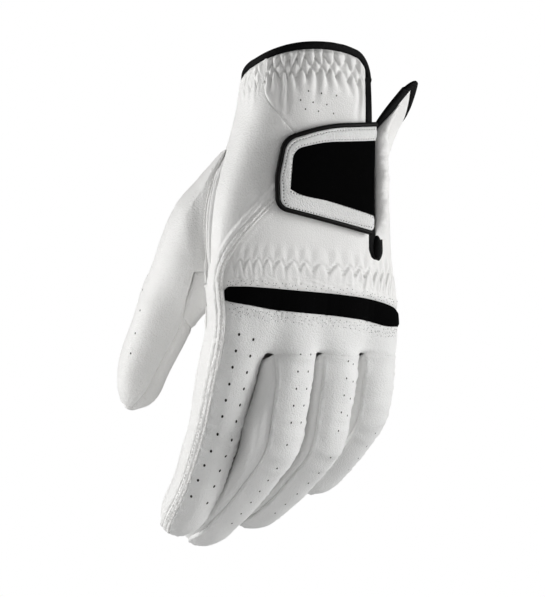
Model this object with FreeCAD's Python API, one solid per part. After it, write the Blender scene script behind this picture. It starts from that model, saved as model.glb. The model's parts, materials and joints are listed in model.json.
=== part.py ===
import FreeCAD, Part
import math
import os

# Golf glove for a left hand, shown as it sits on a relaxed hand: cuff up, fingers down and curled.
# Millimetres. +Z runs up out of the cuff, -Y is the back of the hand, -X is the thumb side.
# The origin is the middle of the wrist opening, at the height of the hem's highest point.

Vector = FreeCAD.Vector
os.makedirs("parts", exist_ok=True)
document = FreeCAD.newDocument("golf_glove")

# ---- driving sizes, each with its own cell ----
sizes = [
    ("leatherWall", 0.9), ("knitWall", 0.8), ("bandWall", 1.1), ("seamGap", 0.16),
    ("bindingWidth", 2.6), ("bindingWall", 1.9),
    # hand sections from the cuff down: drop, sideways shift, half width, depth to the back and palm
    ("cuffShift", 0.2), ("cuffHalfWidth", 28.2), ("cuffBackDepth", 19.5), ("cuffPalmDepth", 19.5),
    ("wristDrop", 28), ("wristShift", -0.8), ("wristHalfWidth", 32.4), ("wristBackDepth", 18.2),
    ("wristPalmDepth", 20.5),
    ("heelDrop", 62), ("heelShift", -5.2), ("heelHalfWidth", 39.8), ("heelBackDepth", 16.4),
    ("heelPalmDepth", 24),
    ("palmDrop", 88), ("palmShift", -6.6), ("palmHalfWidth", 42.6), ("palmBackDepth", 15.4),
    ("palmPalmDepth", 22),
    ("knuckleDrop", 106), ("knuckleShift", -6.4), ("knuckleHalfWidth", 43.8), ("knuckleBackDepth", 15.2),
    ("knucklePalmDepth", 17),
    ("sectionPower", 0.86),
    # openings and edges of the leather
    ("hemArch", 23), ("hemApexAngle", 112), ("slitCornerDrop", 6), ("slitTopAngle", 57.5),
    ("slitBottomAngle", 49.5), ("slitDrop", 83), ("slitWidth", 1.6), ("flapCornerDrop", 9), ("palmHemDrop", 17),
    ("flapFlare", 17), ("flapFlareEnd", 48), ("flapHeldDrop", 35), ("ulnarSeamAngle", 6), ("radialSeamAngle", 214),
    ("wrapTopAngle", 162), ("wrapTopDrop", 16), ("wrapWaistAngle", 113), ("wrapWaistDrop", 44),
    ("wrapTurnDrop", 50), ("wrapKnuckleAngle", 164),
    # knuckle band
    ("bandDrop", 97.8), ("bandSlant", 9.4), ("bandSlantAngle", 140), ("bandWidth", 8.2), ("bandNarrowWidth", 4.4),
    ("bandProud", 0.25),
    # thumb hole and thumb
    ("thumbHoleBackAngle", 196), ("thumbHolePalmAngle", 244), ("thumbHoleTop", 43),
    ("thumbHoleBottom", 97), ("thumbKneeX", -47.8), ("thumbKneeY", 28.2), ("thumbKneeDrop", 88),
    ("thumbTipX", -51.6), ("thumbTipY", 53.2), ("thumbTipDrop", 145),
    ("thumbRootHalfWidth", 23), ("thumbHalfWidth", 12.2), ("thumbTipHalfWidth", 9.6),
    ("thumbDepthShare", 0.95), ("thumbRoll", 20), ("thumbBlend", 0.5), ("gussetShare", 0.3),
    ("thumbCrotchShare", 0.38),
    # fingers
    ("webDrop", 124), ("palmWebExtra", 7), ("edgeAngle", 28), ("fingerPower", 0.88),
    ("blendDrop", 90), ("bendLength", 15), ("tipLength", 13), ("capShare", 0.36), ("webSpread", 13),
    ("rollWidth", 6.4), ("rollHeight", 2.6), ("rollTop", 32), ("rollBottom", 81),
    # closing tab: heights above the back of the hand, and its outline seen from the back
    ("loopProud", 0.9), ("hookProud", 2.0), ("hookGap", 0.35), ("tabBaseProud", 2.95),
    ("tabFaceProud", 3.65), ("layerGap", 0.06), ("pipingRadius", 1.25), ("pipingGap", 0.2),
    ("tabRootX", 20.4), ("tabTipX", -30.2), ("tabTopRootDrop", 32), ("tabTopBendX", -10),
    ("tabTopBendDrop", 33), ("tabTopCornerX", -26.6), ("tabTopDrop", 38), ("tabWaistDrop", 54), ("tabBottomDrop", 66.2), ("tabBottomRootDrop", 79.6),
    ("faceTopRootDrop", 39.2), ("faceTopBendX", -9), ("faceTopBendDrop", 40), ("faceTopCornerX", -22.8),
    ("faceTopDrop", 43), ("faceTipX", -24.4),
    ("faceTipDrop", 60.6), ("faceBendX", -8), ("faceBendDrop", 63), ("faceBottomRootDrop", 72.2),
    ("patchLeft", -20), ("patchRight", -3), ("patchTop", 43), ("patchBottom", 61), ("patchCorner", 3),
    ("tabOpenAngle", 150),
    # elastics sewn inside
    ("elasticWall", 0.8), ("elasticGap", 0.2), ("cuffElasticTop", 6), ("cuffElasticWidth", 8),
    ("cuffElasticStart", 150), ("cuffElasticEnd", 64),
    ("knuckleElasticRise", 10.6), ("knuckleElasticWidth", 7), ("knuckleElasticStart", 156),
    ("knuckleElasticEnd", 24), ("palmElasticTop", 5), ("palmElasticWidth", 8),
    ("palmElasticStart", 318), ("palmElasticEnd", 262),
]
fingers = [
    # name, X, Y, base half width and depth, tip half size, start bend, PIP place and bend, DIP, length
    ("index", [-37.0, -1.5, 11.5, 12.2, 9.2, 18, 50, 10, 75, 12, 100, -1]),
    ("middle", [-14.9, -5.5, 11.4, 12.4, 9.6, 9, 54, 40, 83, 8, 117.5, -3]),
    ("ring", [8.2, -4.0, 11.0, 12.0, 9.0, 7, 53, 44, 79, 8, 109, -4.5]),
    ("little", [30.6, 0.5, 9.8, 10.6, 8.4, 7, 42, 40, 63, 8, 89.5, -2.8]),
]
fingerFields = ["X", "Y", "HalfWidth", "HalfDepth", "TipHalf", "StartBend", "MiddleJoint", "MiddleBend",
                "EndJoint", "EndBend", "Length", "Lean"]
sheet = document.addObject("Spreadsheet::Sheet", "sizes")
rowNumber = 0


def addSize(name, value):
    global rowNumber
    rowNumber += 1
    sheet.set("A%d" % rowNumber, name)
    sheet.set("B%d" % rowNumber, str(value))
    sheet.setAlias("B%d" % rowNumber, name)


for name, value in sizes:
    addSize(name, value)
for fingerName, values in fingers:
    for field, value in zip(fingerFields, values):
        addSize(fingerName + field, value)
document.recompute()


def size(name):
    return float(sheet.get(name))


def clamp(value):
    return max(0.0, min(1.0, value))


def smooth(value):
    value = clamp(value)
    return value * value * (3 - 2 * value)


def mix(first, second, share):
    return first * (1 - share) + second * share


def signedPower(value, power):
    return math.copysign(abs(value) ** power, value)


# ---- the hand as a tube: angle 0 = little finger side, 90 = back, 180 = thumb side, 270 = palm ----
stations = []
for stationName in ("cuff", "wrist", "heel", "palm", "knuckle"):
    drop = 0.0 if stationName == "cuff" else size(stationName + "Drop")
    stations.append((drop, [size(stationName + part) for part in
                            ("Shift", "HalfWidth", "BackDepth", "PalmDepth")]))
sectionPower = size("sectionPower")


def sectionAt(drop):
    last = len(stations) - 1
    i = 0
    while i < last - 1 and drop > stations[i + 1][0]:
        i += 1
    start, end = stations[i], stations[i + 1]
    span = end[0] - start[0]
    t = (drop - start[0]) / span
    if t < 0 or t > 1:
        t = max(-0.4, min(1.6, t))
        return [mix(a, b, t) for a, b in zip(start[1], end[1])]
    before, after = stations[max(i - 1, 0)], stations[min(i + 2, last)]
    result = []
    for k in range(4):
        slopeStart = (end[1][k] - before[1][k]) / (end[0] - before[0]) * span
        slopeEnd = (after[1][k] - start[1][k]) / (after[0] - start[0]) * span
        result.append((2 * t ** 3 - 3 * t ** 2 + 1) * start[1][k] + (t ** 3 - 2 * t ** 2 + t) * slopeStart
                      + (3 * t ** 2 - 2 * t ** 3) * end[1][k] + (t ** 3 - t ** 2) * slopeEnd)
    return result


def tubePoint(angle, drop):
    shift, halfWidth, backDepth, palmDepth = sectionAt(drop)
    across = math.cos(math.radians(angle))
    outward = math.sin(math.radians(angle))
    depth = backDepth if outward > 0 else palmDepth
    return Vector(shift + halfWidth * signedPower(across, sectionPower),
                  -depth * signedPower(outward, sectionPower), -drop)


def outwardAt(angle):
    return Vector(math.cos(math.radians(angle)), -math.sin(math.radians(angle)), 0)


# ---- fingers ----
class Finger:
    def __init__(self, name):
        self.size = {field: size(name + field) for field in fingerFields}
        self.start = size("blendDrop") - size("knuckleDrop")
        self.step = 1.0
        self.points = []
        self.bends = []
        lean = math.radians(self.size["Lean"])
        place = Vector(self.size["X"], self.size["Y"], -size("blendDrop"))
        count = int((self.size["Length"] - self.start) / self.step) + 2
        for i in range(count):
            s = self.start + i * self.step
            bend = math.radians(self.bendAt(s))
            leanHere = lean * smooth((s + 8) / 30)
            self.points.append(place)
            self.bends.append((bend, leanHere))
            place = place + Vector(math.sin(leanHere), math.cos(leanHere) * math.sin(bend),
                                   -math.cos(leanHere) * math.cos(bend)) * self.step

    def bendAt(self, s):
        half = size("bendLength") / 2
        joints = ((0, "StartBend"), (self.size["MiddleJoint"], "MiddleBend"),
                  (self.size["EndJoint"], "EndBend"))
        return sum(self.size[bend] * smooth((s - joint + half) / (2 * half)) for joint, bend in joints)

    def frame(self, s):
        place = (s - self.start) / self.step
        i = int(max(0, min(len(self.points) - 2, math.floor(place))))
        share = place - i
        bend = mix(self.bends[i][0], self.bends[i + 1][0], share)
        lean = mix(self.bends[i][1], self.bends[i + 1][1], share)
        centre = self.points[i] + (self.points[i + 1] - self.points[i]) * share
        side = Vector(math.cos(lean), -math.sin(lean) * math.sin(bend), math.sin(lean) * math.cos(bend))
        back = Vector(0, -math.cos(bend), -math.sin(bend))
        along = Vector(math.sin(lean), math.cos(lean) * math.sin(bend), -math.cos(lean) * math.cos(bend))
        return centre, side, back, along

    def halfSizes(self, s):
        share = smooth(s / self.size["Length"])
        width = mix(self.size["HalfWidth"], self.size["TipHalf"], share)
        depth = mix(self.size["HalfDepth"], self.size["TipHalf"] * 0.94, share)
        tipStart = self.size["Length"] - size("tipLength")
        if s > tipStart:
            reach = clamp((s - tipStart) / size("tipLength"))
            roundness = max(size("capShare"), math.sqrt(max(0.0, 1 - (reach * 0.94) ** 2.3)))
            width *= roundness
            depth *= roundness
        return width, depth

    def point(self, angle, s):
        centre, side, back, along = self.frame(s)
        width, depth = self.halfSizes(s)
        power = size("fingerPower")
        return (centre + side * (width * signedPower(math.cos(math.radians(angle)), power))
                + back * (depth * signedPower(math.sin(math.radians(angle)), power)))


hand = [Finger(name) for name, values in fingers]
edgeAngle = size("edgeAngle")
# where the fingers' edges meet the tube, from the thumb side to the little finger side
littleEdgeAngle = 342.0
backValleys = [size("wrapKnuckleAngle"), 114.0, 87.0, 58.0, size("ulnarSeamAngle")]
palmValleys = [size("radialSeamAngle"), size("thumbHolePalmAngle"), 273.0, 302.0, littleEdgeAngle]


def webDropAt(fingerAngle):
    lowest = math.sin(math.radians(edgeAngle))
    share = clamp((lowest - math.sin(math.radians(fingerAngle))) / (2 * lowest))
    return size("webDrop") + size("palmWebExtra") * share


def rawFinger(i, fingerAngle, drop):
    return hand[i].point(fingerAngle, drop - size("knuckleDrop"))


def valleyPoint(i, isPalm, drop):
    first = rawFinger(i, -edgeAngle if isPalm else edgeAngle, drop)
    second = rawFinger(i + 1, 180 + edgeAngle if isPalm else 180 - edgeAngle, drop)
    return (first + second) * 0.5


def webPoint(i, share):
    angle = mix(edgeAngle, -edgeAngle, share)
    drop = webDropAt(angle)
    first = rawFinger(i, angle, drop)
    second = rawFinger(i + 1, 180 - angle, drop)
    return (first + second) * 0.5


def fingerStrip(i, fingerAngle, s):
    place = hand[i].point(fingerAngle, s)
    cosine = math.cos(math.radians(fingerAngle))
    sine = math.sin(math.radians(fingerAngle))
    lowest = math.sin(math.radians(edgeAngle))
    neighbour = i if cosine > 0 else i - 1
    if neighbour < 0 or neighbour > 2:
        return place
    webS = webDropAt(fingerAngle) - size("knuckleDrop")
    reach = 1 - clamp((s - webS) / size("webSpread"))
    if reach <= 0:
        return place
    fade = 1 - math.sqrt(1 - reach * reach)
    if abs(sine) <= lowest + 1e-9:
        share = clamp((lowest - sine) / (2 * lowest))
        span = math.degrees(math.asin(max(-1, min(1, sine))))
        share = (edgeAngle - span) / (2 * edgeAngle)
        target = webPoint(neighbour, share)
        return place + (target - hand[i].point(fingerAngle, webS)) * fade
    isPalm = sine < 0
    ends = 1.0 if isPalm else 0.0
    edge = (-edgeAngle if isPalm else edgeAngle) if cosine > 0 else (
        180 + edgeAngle if isPalm else 180 - edgeAngle)
    offset = webPoint(neighbour, ends) - hand[i].point(edge, webS)
    across = (math.cos(math.radians(edge)) - cosine) / math.cos(math.radians(edge))
    return place + offset * (fade * max(0.0, 1 - across) ** 2)


def handPoint(fingerIndex, fingerAngle, tubeAngle, drop):
    base = tubePoint(tubeAngle, drop)
    webHere = webDropAt(fingerAngle)
    blend = smooth((drop - size("blendDrop")) / (webHere - size("blendDrop")))
    if blend <= 0:
        return base
    place = rawFinger(fingerIndex, fingerAngle, drop)
    cosine = math.cos(math.radians(fingerAngle))
    sine = math.sin(math.radians(fingerAngle))
    isPalm = sine < 0
    neighbour = fingerIndex if cosine > 0 else fingerIndex - 1
    if 0 <= neighbour <= 2:
        edge = (-edgeAngle if isPalm else edgeAngle) if cosine > 0 else (
            180 + edgeAngle if isPalm else 180 - edgeAngle)
        offset = valleyPoint(neighbour, isPalm, drop) - rawFinger(fingerIndex, edge, drop)
        across = (math.cos(math.radians(edge)) - cosine) / math.cos(math.radians(edge))
        place = place + offset * max(0.0, 1 - across) ** 2
    return base + (place - base) * blend


def fingerPlace(tubeAngle):
    """Finger number and angle on the finger for an angle on the tube."""
    angle = tubeAngle % 360
    if backValleys[4] <= angle <= backValleys[0]:
        for i in range(4):
            if angle >= backValleys[i + 1]:
                share = (backValleys[i] - angle) / (backValleys[i] - backValleys[i + 1])
                return i, mix(180 - edgeAngle, edgeAngle, share)
    if angle < backValleys[4]:
        angle += 360
    if angle <= palmValleys[0]:
        share = (angle - backValleys[0]) / (palmValleys[0] - backValleys[0])
        return 0, mix(180 - edgeAngle, 180 + edgeAngle, share)
    if angle >= littleEdgeAngle:
        share = (angle - littleEdgeAngle) / (360 + backValleys[4] - littleEdgeAngle)
        return 3, mix(-edgeAngle, edgeAngle, share)
    for i in range(4):
        if angle <= palmValleys[i + 1]:
            share = (angle - palmValleys[i]) / (palmValleys[i + 1] - palmValleys[i])
            return i, mix(180 + edgeAngle, 360 - edgeAngle, share)


def flare(tubeAngle, drop):
    """How far the loose corner of the flap stands off the wrist."""
    angle = (tubeAngle + 180) % 360 - 180
    ends = mix(size("flapFlareEnd"), size("flapHeldDrop"), smooth((angle - 20) / 32))
    rise = clamp((ends - drop) / (ends - 15)) ** 1.2 if drop > 15 else 1.0
    return size("flapFlare") * rise * smooth((angle + 40) / 55)


def skinPoint(tubeAngle, drop, onFlap=False):
    if drop <= size("blendDrop"):
        place = tubePoint(tubeAngle, drop)
    else:
        i, fingerAngle = fingerPlace(tubeAngle)
        place = handPoint(i, fingerAngle, tubeAngle, drop)
    if onFlap and drop < size("flapFlareEnd"):
        place = place + outwardAt(tubeAngle) * flare(tubeAngle, drop)
    return place


# ---- edges of the leather pieces ----
meanRadius = 35.0
bindingAngle = math.degrees(size("bindingWidth") / meanRadius)
halfSlitAngle = math.degrees(size("slitWidth") / 2 / meanRadius)
sewnDrop = size("slitDrop") + size("bindingWidth")


def hemDrop(angle):
    angle = angle % 360
    base = size("hemArch") * (1 - math.cos(math.radians(angle - size("hemApexAngle")))) / 2
    if size("slitTopAngle") - 2 < angle < 210:
        return base + size("slitCornerDrop") * smooth((88 - angle) / 30) ** 1.5
    fromPalm = angle if angle < 180 else angle - 360
    return base + mix(size("palmHemDrop") * smooth((fromPalm + 150) / 150), size("flapCornerDrop"),
                      smooth((fromPalm - 10) / 40))


def hemSewn(angle):
    return hemDrop(angle) + size("bindingWidth")


def slitAngle(drop):
    return mix(size("slitTopAngle"), size("slitBottomAngle"), clamp(drop / size("slitDrop")))


def slitLeft(drop):
    return slitAngle(drop) + halfSlitAngle


def slitRight(drop):
    return slitAngle(drop) - halfSlitAngle


def slitLeftSewn(drop):
    return slitLeft(drop) + bindingAngle


def slitRightSewn(drop):
    return slitRight(drop) - bindingAngle


def flapHemEnd(drop):
    return 360 + slitRight(drop)


def wrapAngle(drop):
    if drop < size("wrapTurnDrop"):
        share = smooth((drop - size("wrapTopDrop")) / (size("wrapWaistDrop") - size("wrapTopDrop")))
        return mix(size("wrapTopAngle"), size("wrapWaistAngle"), share)
    share = smooth((drop - size("wrapTurnDrop")) / (size("thumbHoleBottom") - size("wrapTurnDrop")))
    return mix(size("wrapWaistAngle"), size("wrapKnuckleAngle"), share)


def bandTop(angle):
    return size("bandDrop") + size("bandSlant") * clamp((size("bandSlantAngle") - angle) / 130) ** 1.4


def bandBottom(angle):
    narrowing = max(smooth((angle - 130) / 34), 0.6 * smooth((40 - angle) / 34))
    return bandTop(angle) + mix(size("bandWidth"), size("bandNarrowWidth"), narrowing)


def webAt(angle):
    return webDropAt(fingerPlace(angle)[1])


# ---- grids of points: columns run along the angle, rows run down ----
# outward direction at each grid point, so that pieces sewn edge to edge have the same edge plane
seamNormals = {}


def fixed(value):
    return lambda other: value


def tubeBlock(left, right, top, bottom, columns, rows, onFlap=False, proud=0.0):
    grid = []
    for i in range(rows + 1):
        line = []
        for j in range(columns + 1):
            drop = 50.0
            for turn in range(80):
                angle = mix(left(drop), right(drop), j / columns)
                drop = mix(top(angle), bottom(angle), i / rows)
            normal = tubeNormal(angle, drop, onFlap)
            place = skinPoint(angle, drop, onFlap) + normal * proud
            seamNormals.setdefault(pointKey(place), normal)
            line.append(place)
        grid.append(line)
    return grid


def tubeNormal(angle, drop, onFlap=False):
    turn = skinPoint(angle + 0.6, drop, onFlap) - skinPoint(angle - 0.6, drop, onFlap)
    fall = skinPoint(angle, drop + 0.6, onFlap) - skinPoint(angle, drop - 0.6, onFlap)
    return turn.cross(fall).normalize()


def fingerBlock(i, angleStart, angleEnd, columns, shares):
    """Finger strip between two angles, from the web to the tip."""
    grid = []
    for share in shares:
        line = []
        for j in range(columns + 1):
            angle = mix(angleStart, angleEnd, j / columns)
            s = mix(webDropAt(angle) - size("knuckleDrop"), hand[i].size["Length"], share)
            place = fingerStrip(i, angle, s)
            turn = fingerStrip(i, angle + 1, s) - fingerStrip(i, angle - 1, s)
            fall = fingerStrip(i, angle, min(s + 0.5, hand[i].size["Length"])) - fingerStrip(i, angle, s - 0.5)
            seamNormals.setdefault(pointKey(place), turn.cross(fall).normalize())
            line.append(place)
        grid.append(line)
    return grid


def coonsCap(bottomLine, topLine, leftLine, rightLine, bulge):
    """Patch over a fingertip from its four edges, pushed out by the bulge."""
    columns = len(bottomLine) - 1
    rows = len(leftLine) - 1
    grid = []
    for i in range(rows + 1):
        v = i / rows
        line = []
        for j in range(columns + 1):
            u = j / columns
            place = (bottomLine[j] * (1 - v) + topLine[j] * v + leftLine[i] * (1 - u) + rightLine[i] * u
                     - bottomLine[0] * ((1 - u) * (1 - v)) - bottomLine[-1] * (u * (1 - v))
                     - topLine[0] * ((1 - u) * v) - topLine[-1] * (u * v))
            line.append(place + bulge * (16 * u * (1 - u) * v * (1 - v)))
        grid.append(line)
    return grid


# ---- smooth surfaces through grids ----
def splinePoles(points):
    count = len(points)
    if count < 3:
        return list(points)
    # natural cubic spline: second derivatives at the points
    second = [Vector(0, 0, 0)] * count
    lower = [0.0] * count
    for i in range(1, count - 1):
        weight = 4 - lower[i - 1]
        lower[i] = 1 / weight
        change = (points[i + 1] - points[i] * 2 + points[i - 1]) * 6
        second[i] = (change - second[i - 1]) * (1 / weight)
    for i in range(count - 2, 0, -1):
        second[i] = second[i] - second[i + 1] * lower[i]

    def blossom(segment, places):
        rise = points[segment + 1] - points[segment]
        slopeStart = rise - (second[segment] * 2 + second[segment + 1]) * (1 / 6)
        slopeEnd = rise + (second[segment] + second[segment + 1] * 2) * (1 / 6)
        level = [points[segment], points[segment] + slopeStart * (1 / 3),
                 points[segment + 1] - slopeEnd * (1 / 3), points[segment + 1]]
        for place in places:
            share = place - segment
            level = [level[k] * (1 - share) + level[k + 1] * share for k in range(len(level) - 1)]
        return level[0]

    last = count - 1
    poles = [points[0], blossom(0, (0, 0, 1))]
    for i in range(1, last):
        poles.append(blossom(i, (i - 1, i, i + 1)))
    poles.append(blossom(last - 1, (last - 1, last, last)))
    poles.append(points[last])
    return poles


def splineForm(count):
    """Multiplicities, knots and degree for splinePoles of this many points."""
    if count < 3:
        return [2, 2], [0.0, 1.0], 1
    return [4] + [1] * (count - 2) + [4], [float(k) for k in range(count)], 3


def gridFace(grid):
    across = [splinePoles(line) for line in grid]
    columns = [splinePoles([line[j] for line in across]) for j in range(len(across[0]))]
    poles = [[columns[j][i] for j in range(len(columns))] for i in range(len(columns[0]))]
    rowMults, rowKnots, rowDegree = splineForm(len(grid))
    columnMults, columnKnots, columnDegree = splineForm(len(grid[0]))
    surface = Part.BSplineSurface()
    surface.buildFromPolesMultsKnots(poles, rowMults, columnMults, rowKnots, columnKnots, False, False,
                                     rowDegree, columnDegree)
    return surface.toShape()


def edgeFace(outerLine, innerLine):
    mults, knots, degree = splineForm(len(outerLine))
    surface = Part.BSplineSurface()
    surface.buildFromPolesMultsKnots([splinePoles(outerLine), splinePoles(innerLine)], [2, 2], mults,
                                     [0.0, 1.0], knots, False, False, 1, degree)
    return surface.toShape()


def solidFrom(faces):
    shell = Part.makeShell(faces)
    shell.sewShape()
    solid = Part.Solid(shell)
    if solid.Volume < 0:
        solid.reverse()
    return solid


def pointKey(place):
    return (round(place.x, 3), round(place.y, 3), round(place.z, 3))


def edgeLines(grid):
    """The four edges of a grid, each with the line of points just inside it."""
    return [(grid[0], grid[1]), (grid[-1], grid[-2]),
            ([line[0] for line in grid], [line[1] for line in grid]),
            ([line[-1] for line in grid], [line[-2] for line in grid])]


def edgeKey(line):
    keys = [pointKey(place) for place in line]
    return tuple(keys) if keys[0] <= keys[-1] else tuple(reversed(keys))


def leatherSolid(blocks, wall, inset=None):
    """Closed sheet of one thickness under grids whose shared edges have the same points."""
    inset = size("seamGap") / 2 if inset is None else inset
    uses = {}
    normals = {}
    shifts = {}
    for grid in blocks:
        for line, inside in edgeLines(grid):
            uses[edgeKey(line)] = uses.get(edgeKey(line), 0) + 1
        rows, columns = len(grid) - 1, len(grid[0]) - 1
        for i in range(rows + 1):
            for j in range(columns + 1):
                down = grid[min(i + 1, rows)][j] - grid[max(i - 1, 0)][j]
                across = grid[i][min(j + 1, columns)] - grid[i][max(j - 1, 0)]
                normal = down.cross(across)
                if normal.Length > 1e-9:
                    normal.normalize()
                key = pointKey(grid[i][j])
                normals[key] = normals.get(key, Vector(0, 0, 0)) + normal
    for grid in blocks:
        for line, inside in edgeLines(grid):
            if uses[edgeKey(line)] == 1:
                for place, neighbour in zip(line, inside):
                    shifts.setdefault(pointKey(place), {})[pointKey(neighbour)] = (
                        (neighbour - place).normalize() * inset)

    faces = []
    for grid in blocks:
        outer = []
        inner = []
        for line in grid:
            outerLine = []
            innerLine = []
            for place in line:
                key = pointKey(place)
                moved = place
                for shift in shifts.get(key, {}).values():
                    moved = moved + shift
                normal = Vector(normals[key])
                if key in shifts and key in seamNormals:
                    normal = Vector(seamNormals[key])
                normal.normalize()
                outerLine.append(moved)
                innerLine.append(moved - normal * wall)
            outer.append(outerLine)
            inner.append(innerLine)
        faces.append(gridFace(outer))
        faces.append(gridFace(inner))
        for (line, inside), (outerLine, a), (innerLine, b) in zip(edgeLines(grid), edgeLines(outer),
                                                                  edgeLines(inner)):
            if uses[edgeKey(line)] == 1:
                faces.append(edgeFace(outerLine, innerLine))
    return solidFrom(faces)


# ---- the pieces ----
pieces = []


def addPiece(name, shape):
    piece = document.addObject("Part::Feature", name)
    piece.Label = name
    piece.Shape = shape
    pieces.append(piece)
    return piece


seamAngle = size("ulnarSeamAngle")
backPanel = leatherSolid([
    tubeBlock(wrapAngle, slitLeftSewn, hemSewn, fixed(sewnDrop), 8, 9),
    tubeBlock(wrapAngle, slitLeftSewn, fixed(sewnDrop), bandTop, 8, 3),
    tubeBlock(slitLeftSewn, slitRightSewn, fixed(sewnDrop), bandTop, 2, 3),
    tubeBlock(slitRightSewn, fixed(seamAngle), fixed(sewnDrop), bandTop, 4, 3, True),
    tubeBlock(slitRightSewn, fixed(seamAngle), hemSewn, fixed(sewnDrop), 4, 9, True),
], size("leatherWall"))
addPiece("back_panel", backPanel)

stripShares = [0, 0.02, 0.06, 0.13, 0.23, 0.35, 0.48, 0.61, 0.73, 0.83, 0.905, 0.955, 0.985, 1]
zoneBlocks = [tubeBlock(fixed(backValleys[i]), fixed(backValleys[i + 1]), bandBottom, webAt, 3, 3)
              for i in range(4)]
backStrips = [fingerBlock(i, 180 - edgeAngle, edgeAngle, 3, stripShares) for i in range(4)]
addPiece("finger_back_panel", leatherSolid(zoneBlocks + backStrips, size("leatherWall")))

bandBlock = tubeBlock(fixed(backValleys[0]), fixed(seamAngle), bandTop, bandBottom, 14, 2, False,
                      size("bandProud"))
addPiece("knuckle_band", leatherSolid([bandBlock], size("bandWall")))

holeBack = size("thumbHoleBackAngle")
holePalm = size("thumbHolePalmAngle")
radialSeam = size("radialSeamAngle")
holeTop = fixed(size("thumbHoleTop"))
holeBottom = fixed(size("thumbHoleBottom"))
holeFingerAngle = fingerPlace(holeBack)[1]
addPiece("index_side_panel", leatherSolid([
    tubeBlock(fixed(holeBack), wrapAngle, hemSewn, holeTop, 4, 5),
    tubeBlock(fixed(radialSeam), fixed(holeBack), hemSewn, holeTop, 2, 5),
    tubeBlock(fixed(holeBack), wrapAngle, holeTop, holeBottom, 4, 6),
    tubeBlock(fixed(holeBack), fixed(backValleys[0]), holeBottom, webAt, 4, 3),
    tubeBlock(fixed(radialSeam), fixed(holeBack), holeBottom, webAt, 2, 3),
    fingerBlock(0, holeFingerAngle, 180 - edgeAngle, 4, stripShares),
    fingerBlock(0, 180 + edgeAngle, holeFingerAngle, 2, stripShares),
], size("leatherWall")))

palmLines = palmValleys + [360 + seamAngle]
palmBlocks = []
for i in range(5):
    left, right = fixed(palmLines[i + 1]), fixed(palmLines[i])
    onFlap = i >= 3
    columns = 4 if i == 4 else 3
    palmBlocks.append(tubeBlock(left, right, hemSewn, holeTop, columns, 3, onFlap))
    if i > 0:
        palmBlocks.append(tubeBlock(left, right, holeTop, holeBottom, columns, 5, onFlap))
    palmBlocks.append(tubeBlock(left, right, holeBottom, webAt, columns, 3))
for i in range(4):
    palmStrip = fingerBlock(i, 360 - edgeAngle, 180 + edgeAngle, 3, stripShares)
    radialSide = fingerBlock(i, 180 + edgeAngle, 180 - edgeAngle, 4, [1])
    ulnarSide = fingerBlock(i, 360 - edgeAngle, 360 + edgeAngle, 4, [1])
    backEnd = fingerBlock(i, edgeAngle, 180 - edgeAngle, 3, [1])
    along = hand[i].frame(hand[i].size["Length"])[3]
    palmBlocks.append(palmStrip)
    palmBlocks.append(coonsCap(palmStrip[-1], backEnd[0], ulnarSide[0], radialSide[0],
                               along * (hand[i].size["TipHalf"] * 0.2)))
palmBlocks.append(fingerBlock(3, 360 + edgeAngle, 360 - edgeAngle, 4, stripShares))
addPiece("palm_panel", leatherSolid(palmBlocks, size("leatherWall")))

for i, name in enumerate(["index_middle", "middle_ring", "ring_little"]):
    addPiece(name + "_fourchette", leatherSolid([
        fingerBlock(i, edgeAngle, -edgeAngle, 3, stripShares),
        fingerBlock(i + 1, 180 + edgeAngle, 180 - edgeAngle, 3, stripShares),
    ], size("knitWall")))

# thumb: its four sides start from the four sides of the hole
holeCentre = Vector(0, 0, 0)
for angle, drop in ((holeBack, "thumbHoleTop"), (holePalm, "thumbHoleTop"),
                    (holeBack, "thumbHoleBottom"), (holePalm, "thumbHoleBottom")):
    holeCentre = holeCentre + skinPoint(angle, size(drop)) * 0.25
thumbTip = Vector(size("thumbTipX"), size("thumbTipY"), -size("thumbTipDrop"))
thumbKnee = Vector(size("thumbKneeX"), size("thumbKneeY"), -size("thumbKneeDrop"))


def thumbFrame(t):
    centre = holeCentre * (1 - t) ** 2 + thumbKnee * (2 * t * (1 - t)) + thumbTip * t ** 2
    along = ((thumbKnee - holeCentre) * (1 - t) + (thumbTip - thumbKnee) * t).normalize()
    back = Vector(-math.sin(math.radians(size("thumbRoll"))), -math.cos(math.radians(size("thumbRoll"))), 0)
    back = (back - along * back.dot(along)).normalize()
    return centre, along, back, back.cross(along)


def holePlace(turn):
    """Tube angle and drop on the rim of the hole."""
    turn = turn % 4
    side = int(turn)
    share = turn - side
    top, bottom = size("thumbHoleTop"), size("thumbHoleBottom")
    if side == 0:
        return holeBack, mix(top, bottom, share)
    if side == 1:
        return mix(holeBack, holePalm, share), bottom
    if side == 2:
        return holePalm, mix(bottom, top, share)
    return mix(holePalm, holeBack, share), top


def thumbPoint(turn, t):
    rim = skinPoint(*holePlace(turn))
    angle = math.radians(90 * turn - 45)
    crotchSide = (1 + math.sin(angle)) / 2
    centre, along, back, side = thumbFrame(mix(mix(0.05, size("thumbCrotchShare"), crotchSide), 1.0, t))
    width = mix(size("thumbRootHalfWidth"), size("thumbHalfWidth"), smooth(t / 0.5))
    width = mix(width, size("thumbTipHalfWidth"), smooth((t - 0.45) / 0.55))
    depth = width * size("thumbDepthShare")
    reach = clamp((t - 0.84) / 0.16)
    roundness = max(size("capShare"), math.sqrt(max(0.0, 1 - (reach * 0.94) ** 2.3)))
    power = size("fingerPower")
    place = (centre + back * (depth * roundness * signedPower(math.cos(angle), power))
             + side * (width * roundness * signedPower(math.sin(angle), power)))
    blend = 1 - (1 - clamp(t / size("thumbBlend"))) ** 2
    return rim * (1 - blend) + place * blend


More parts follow.
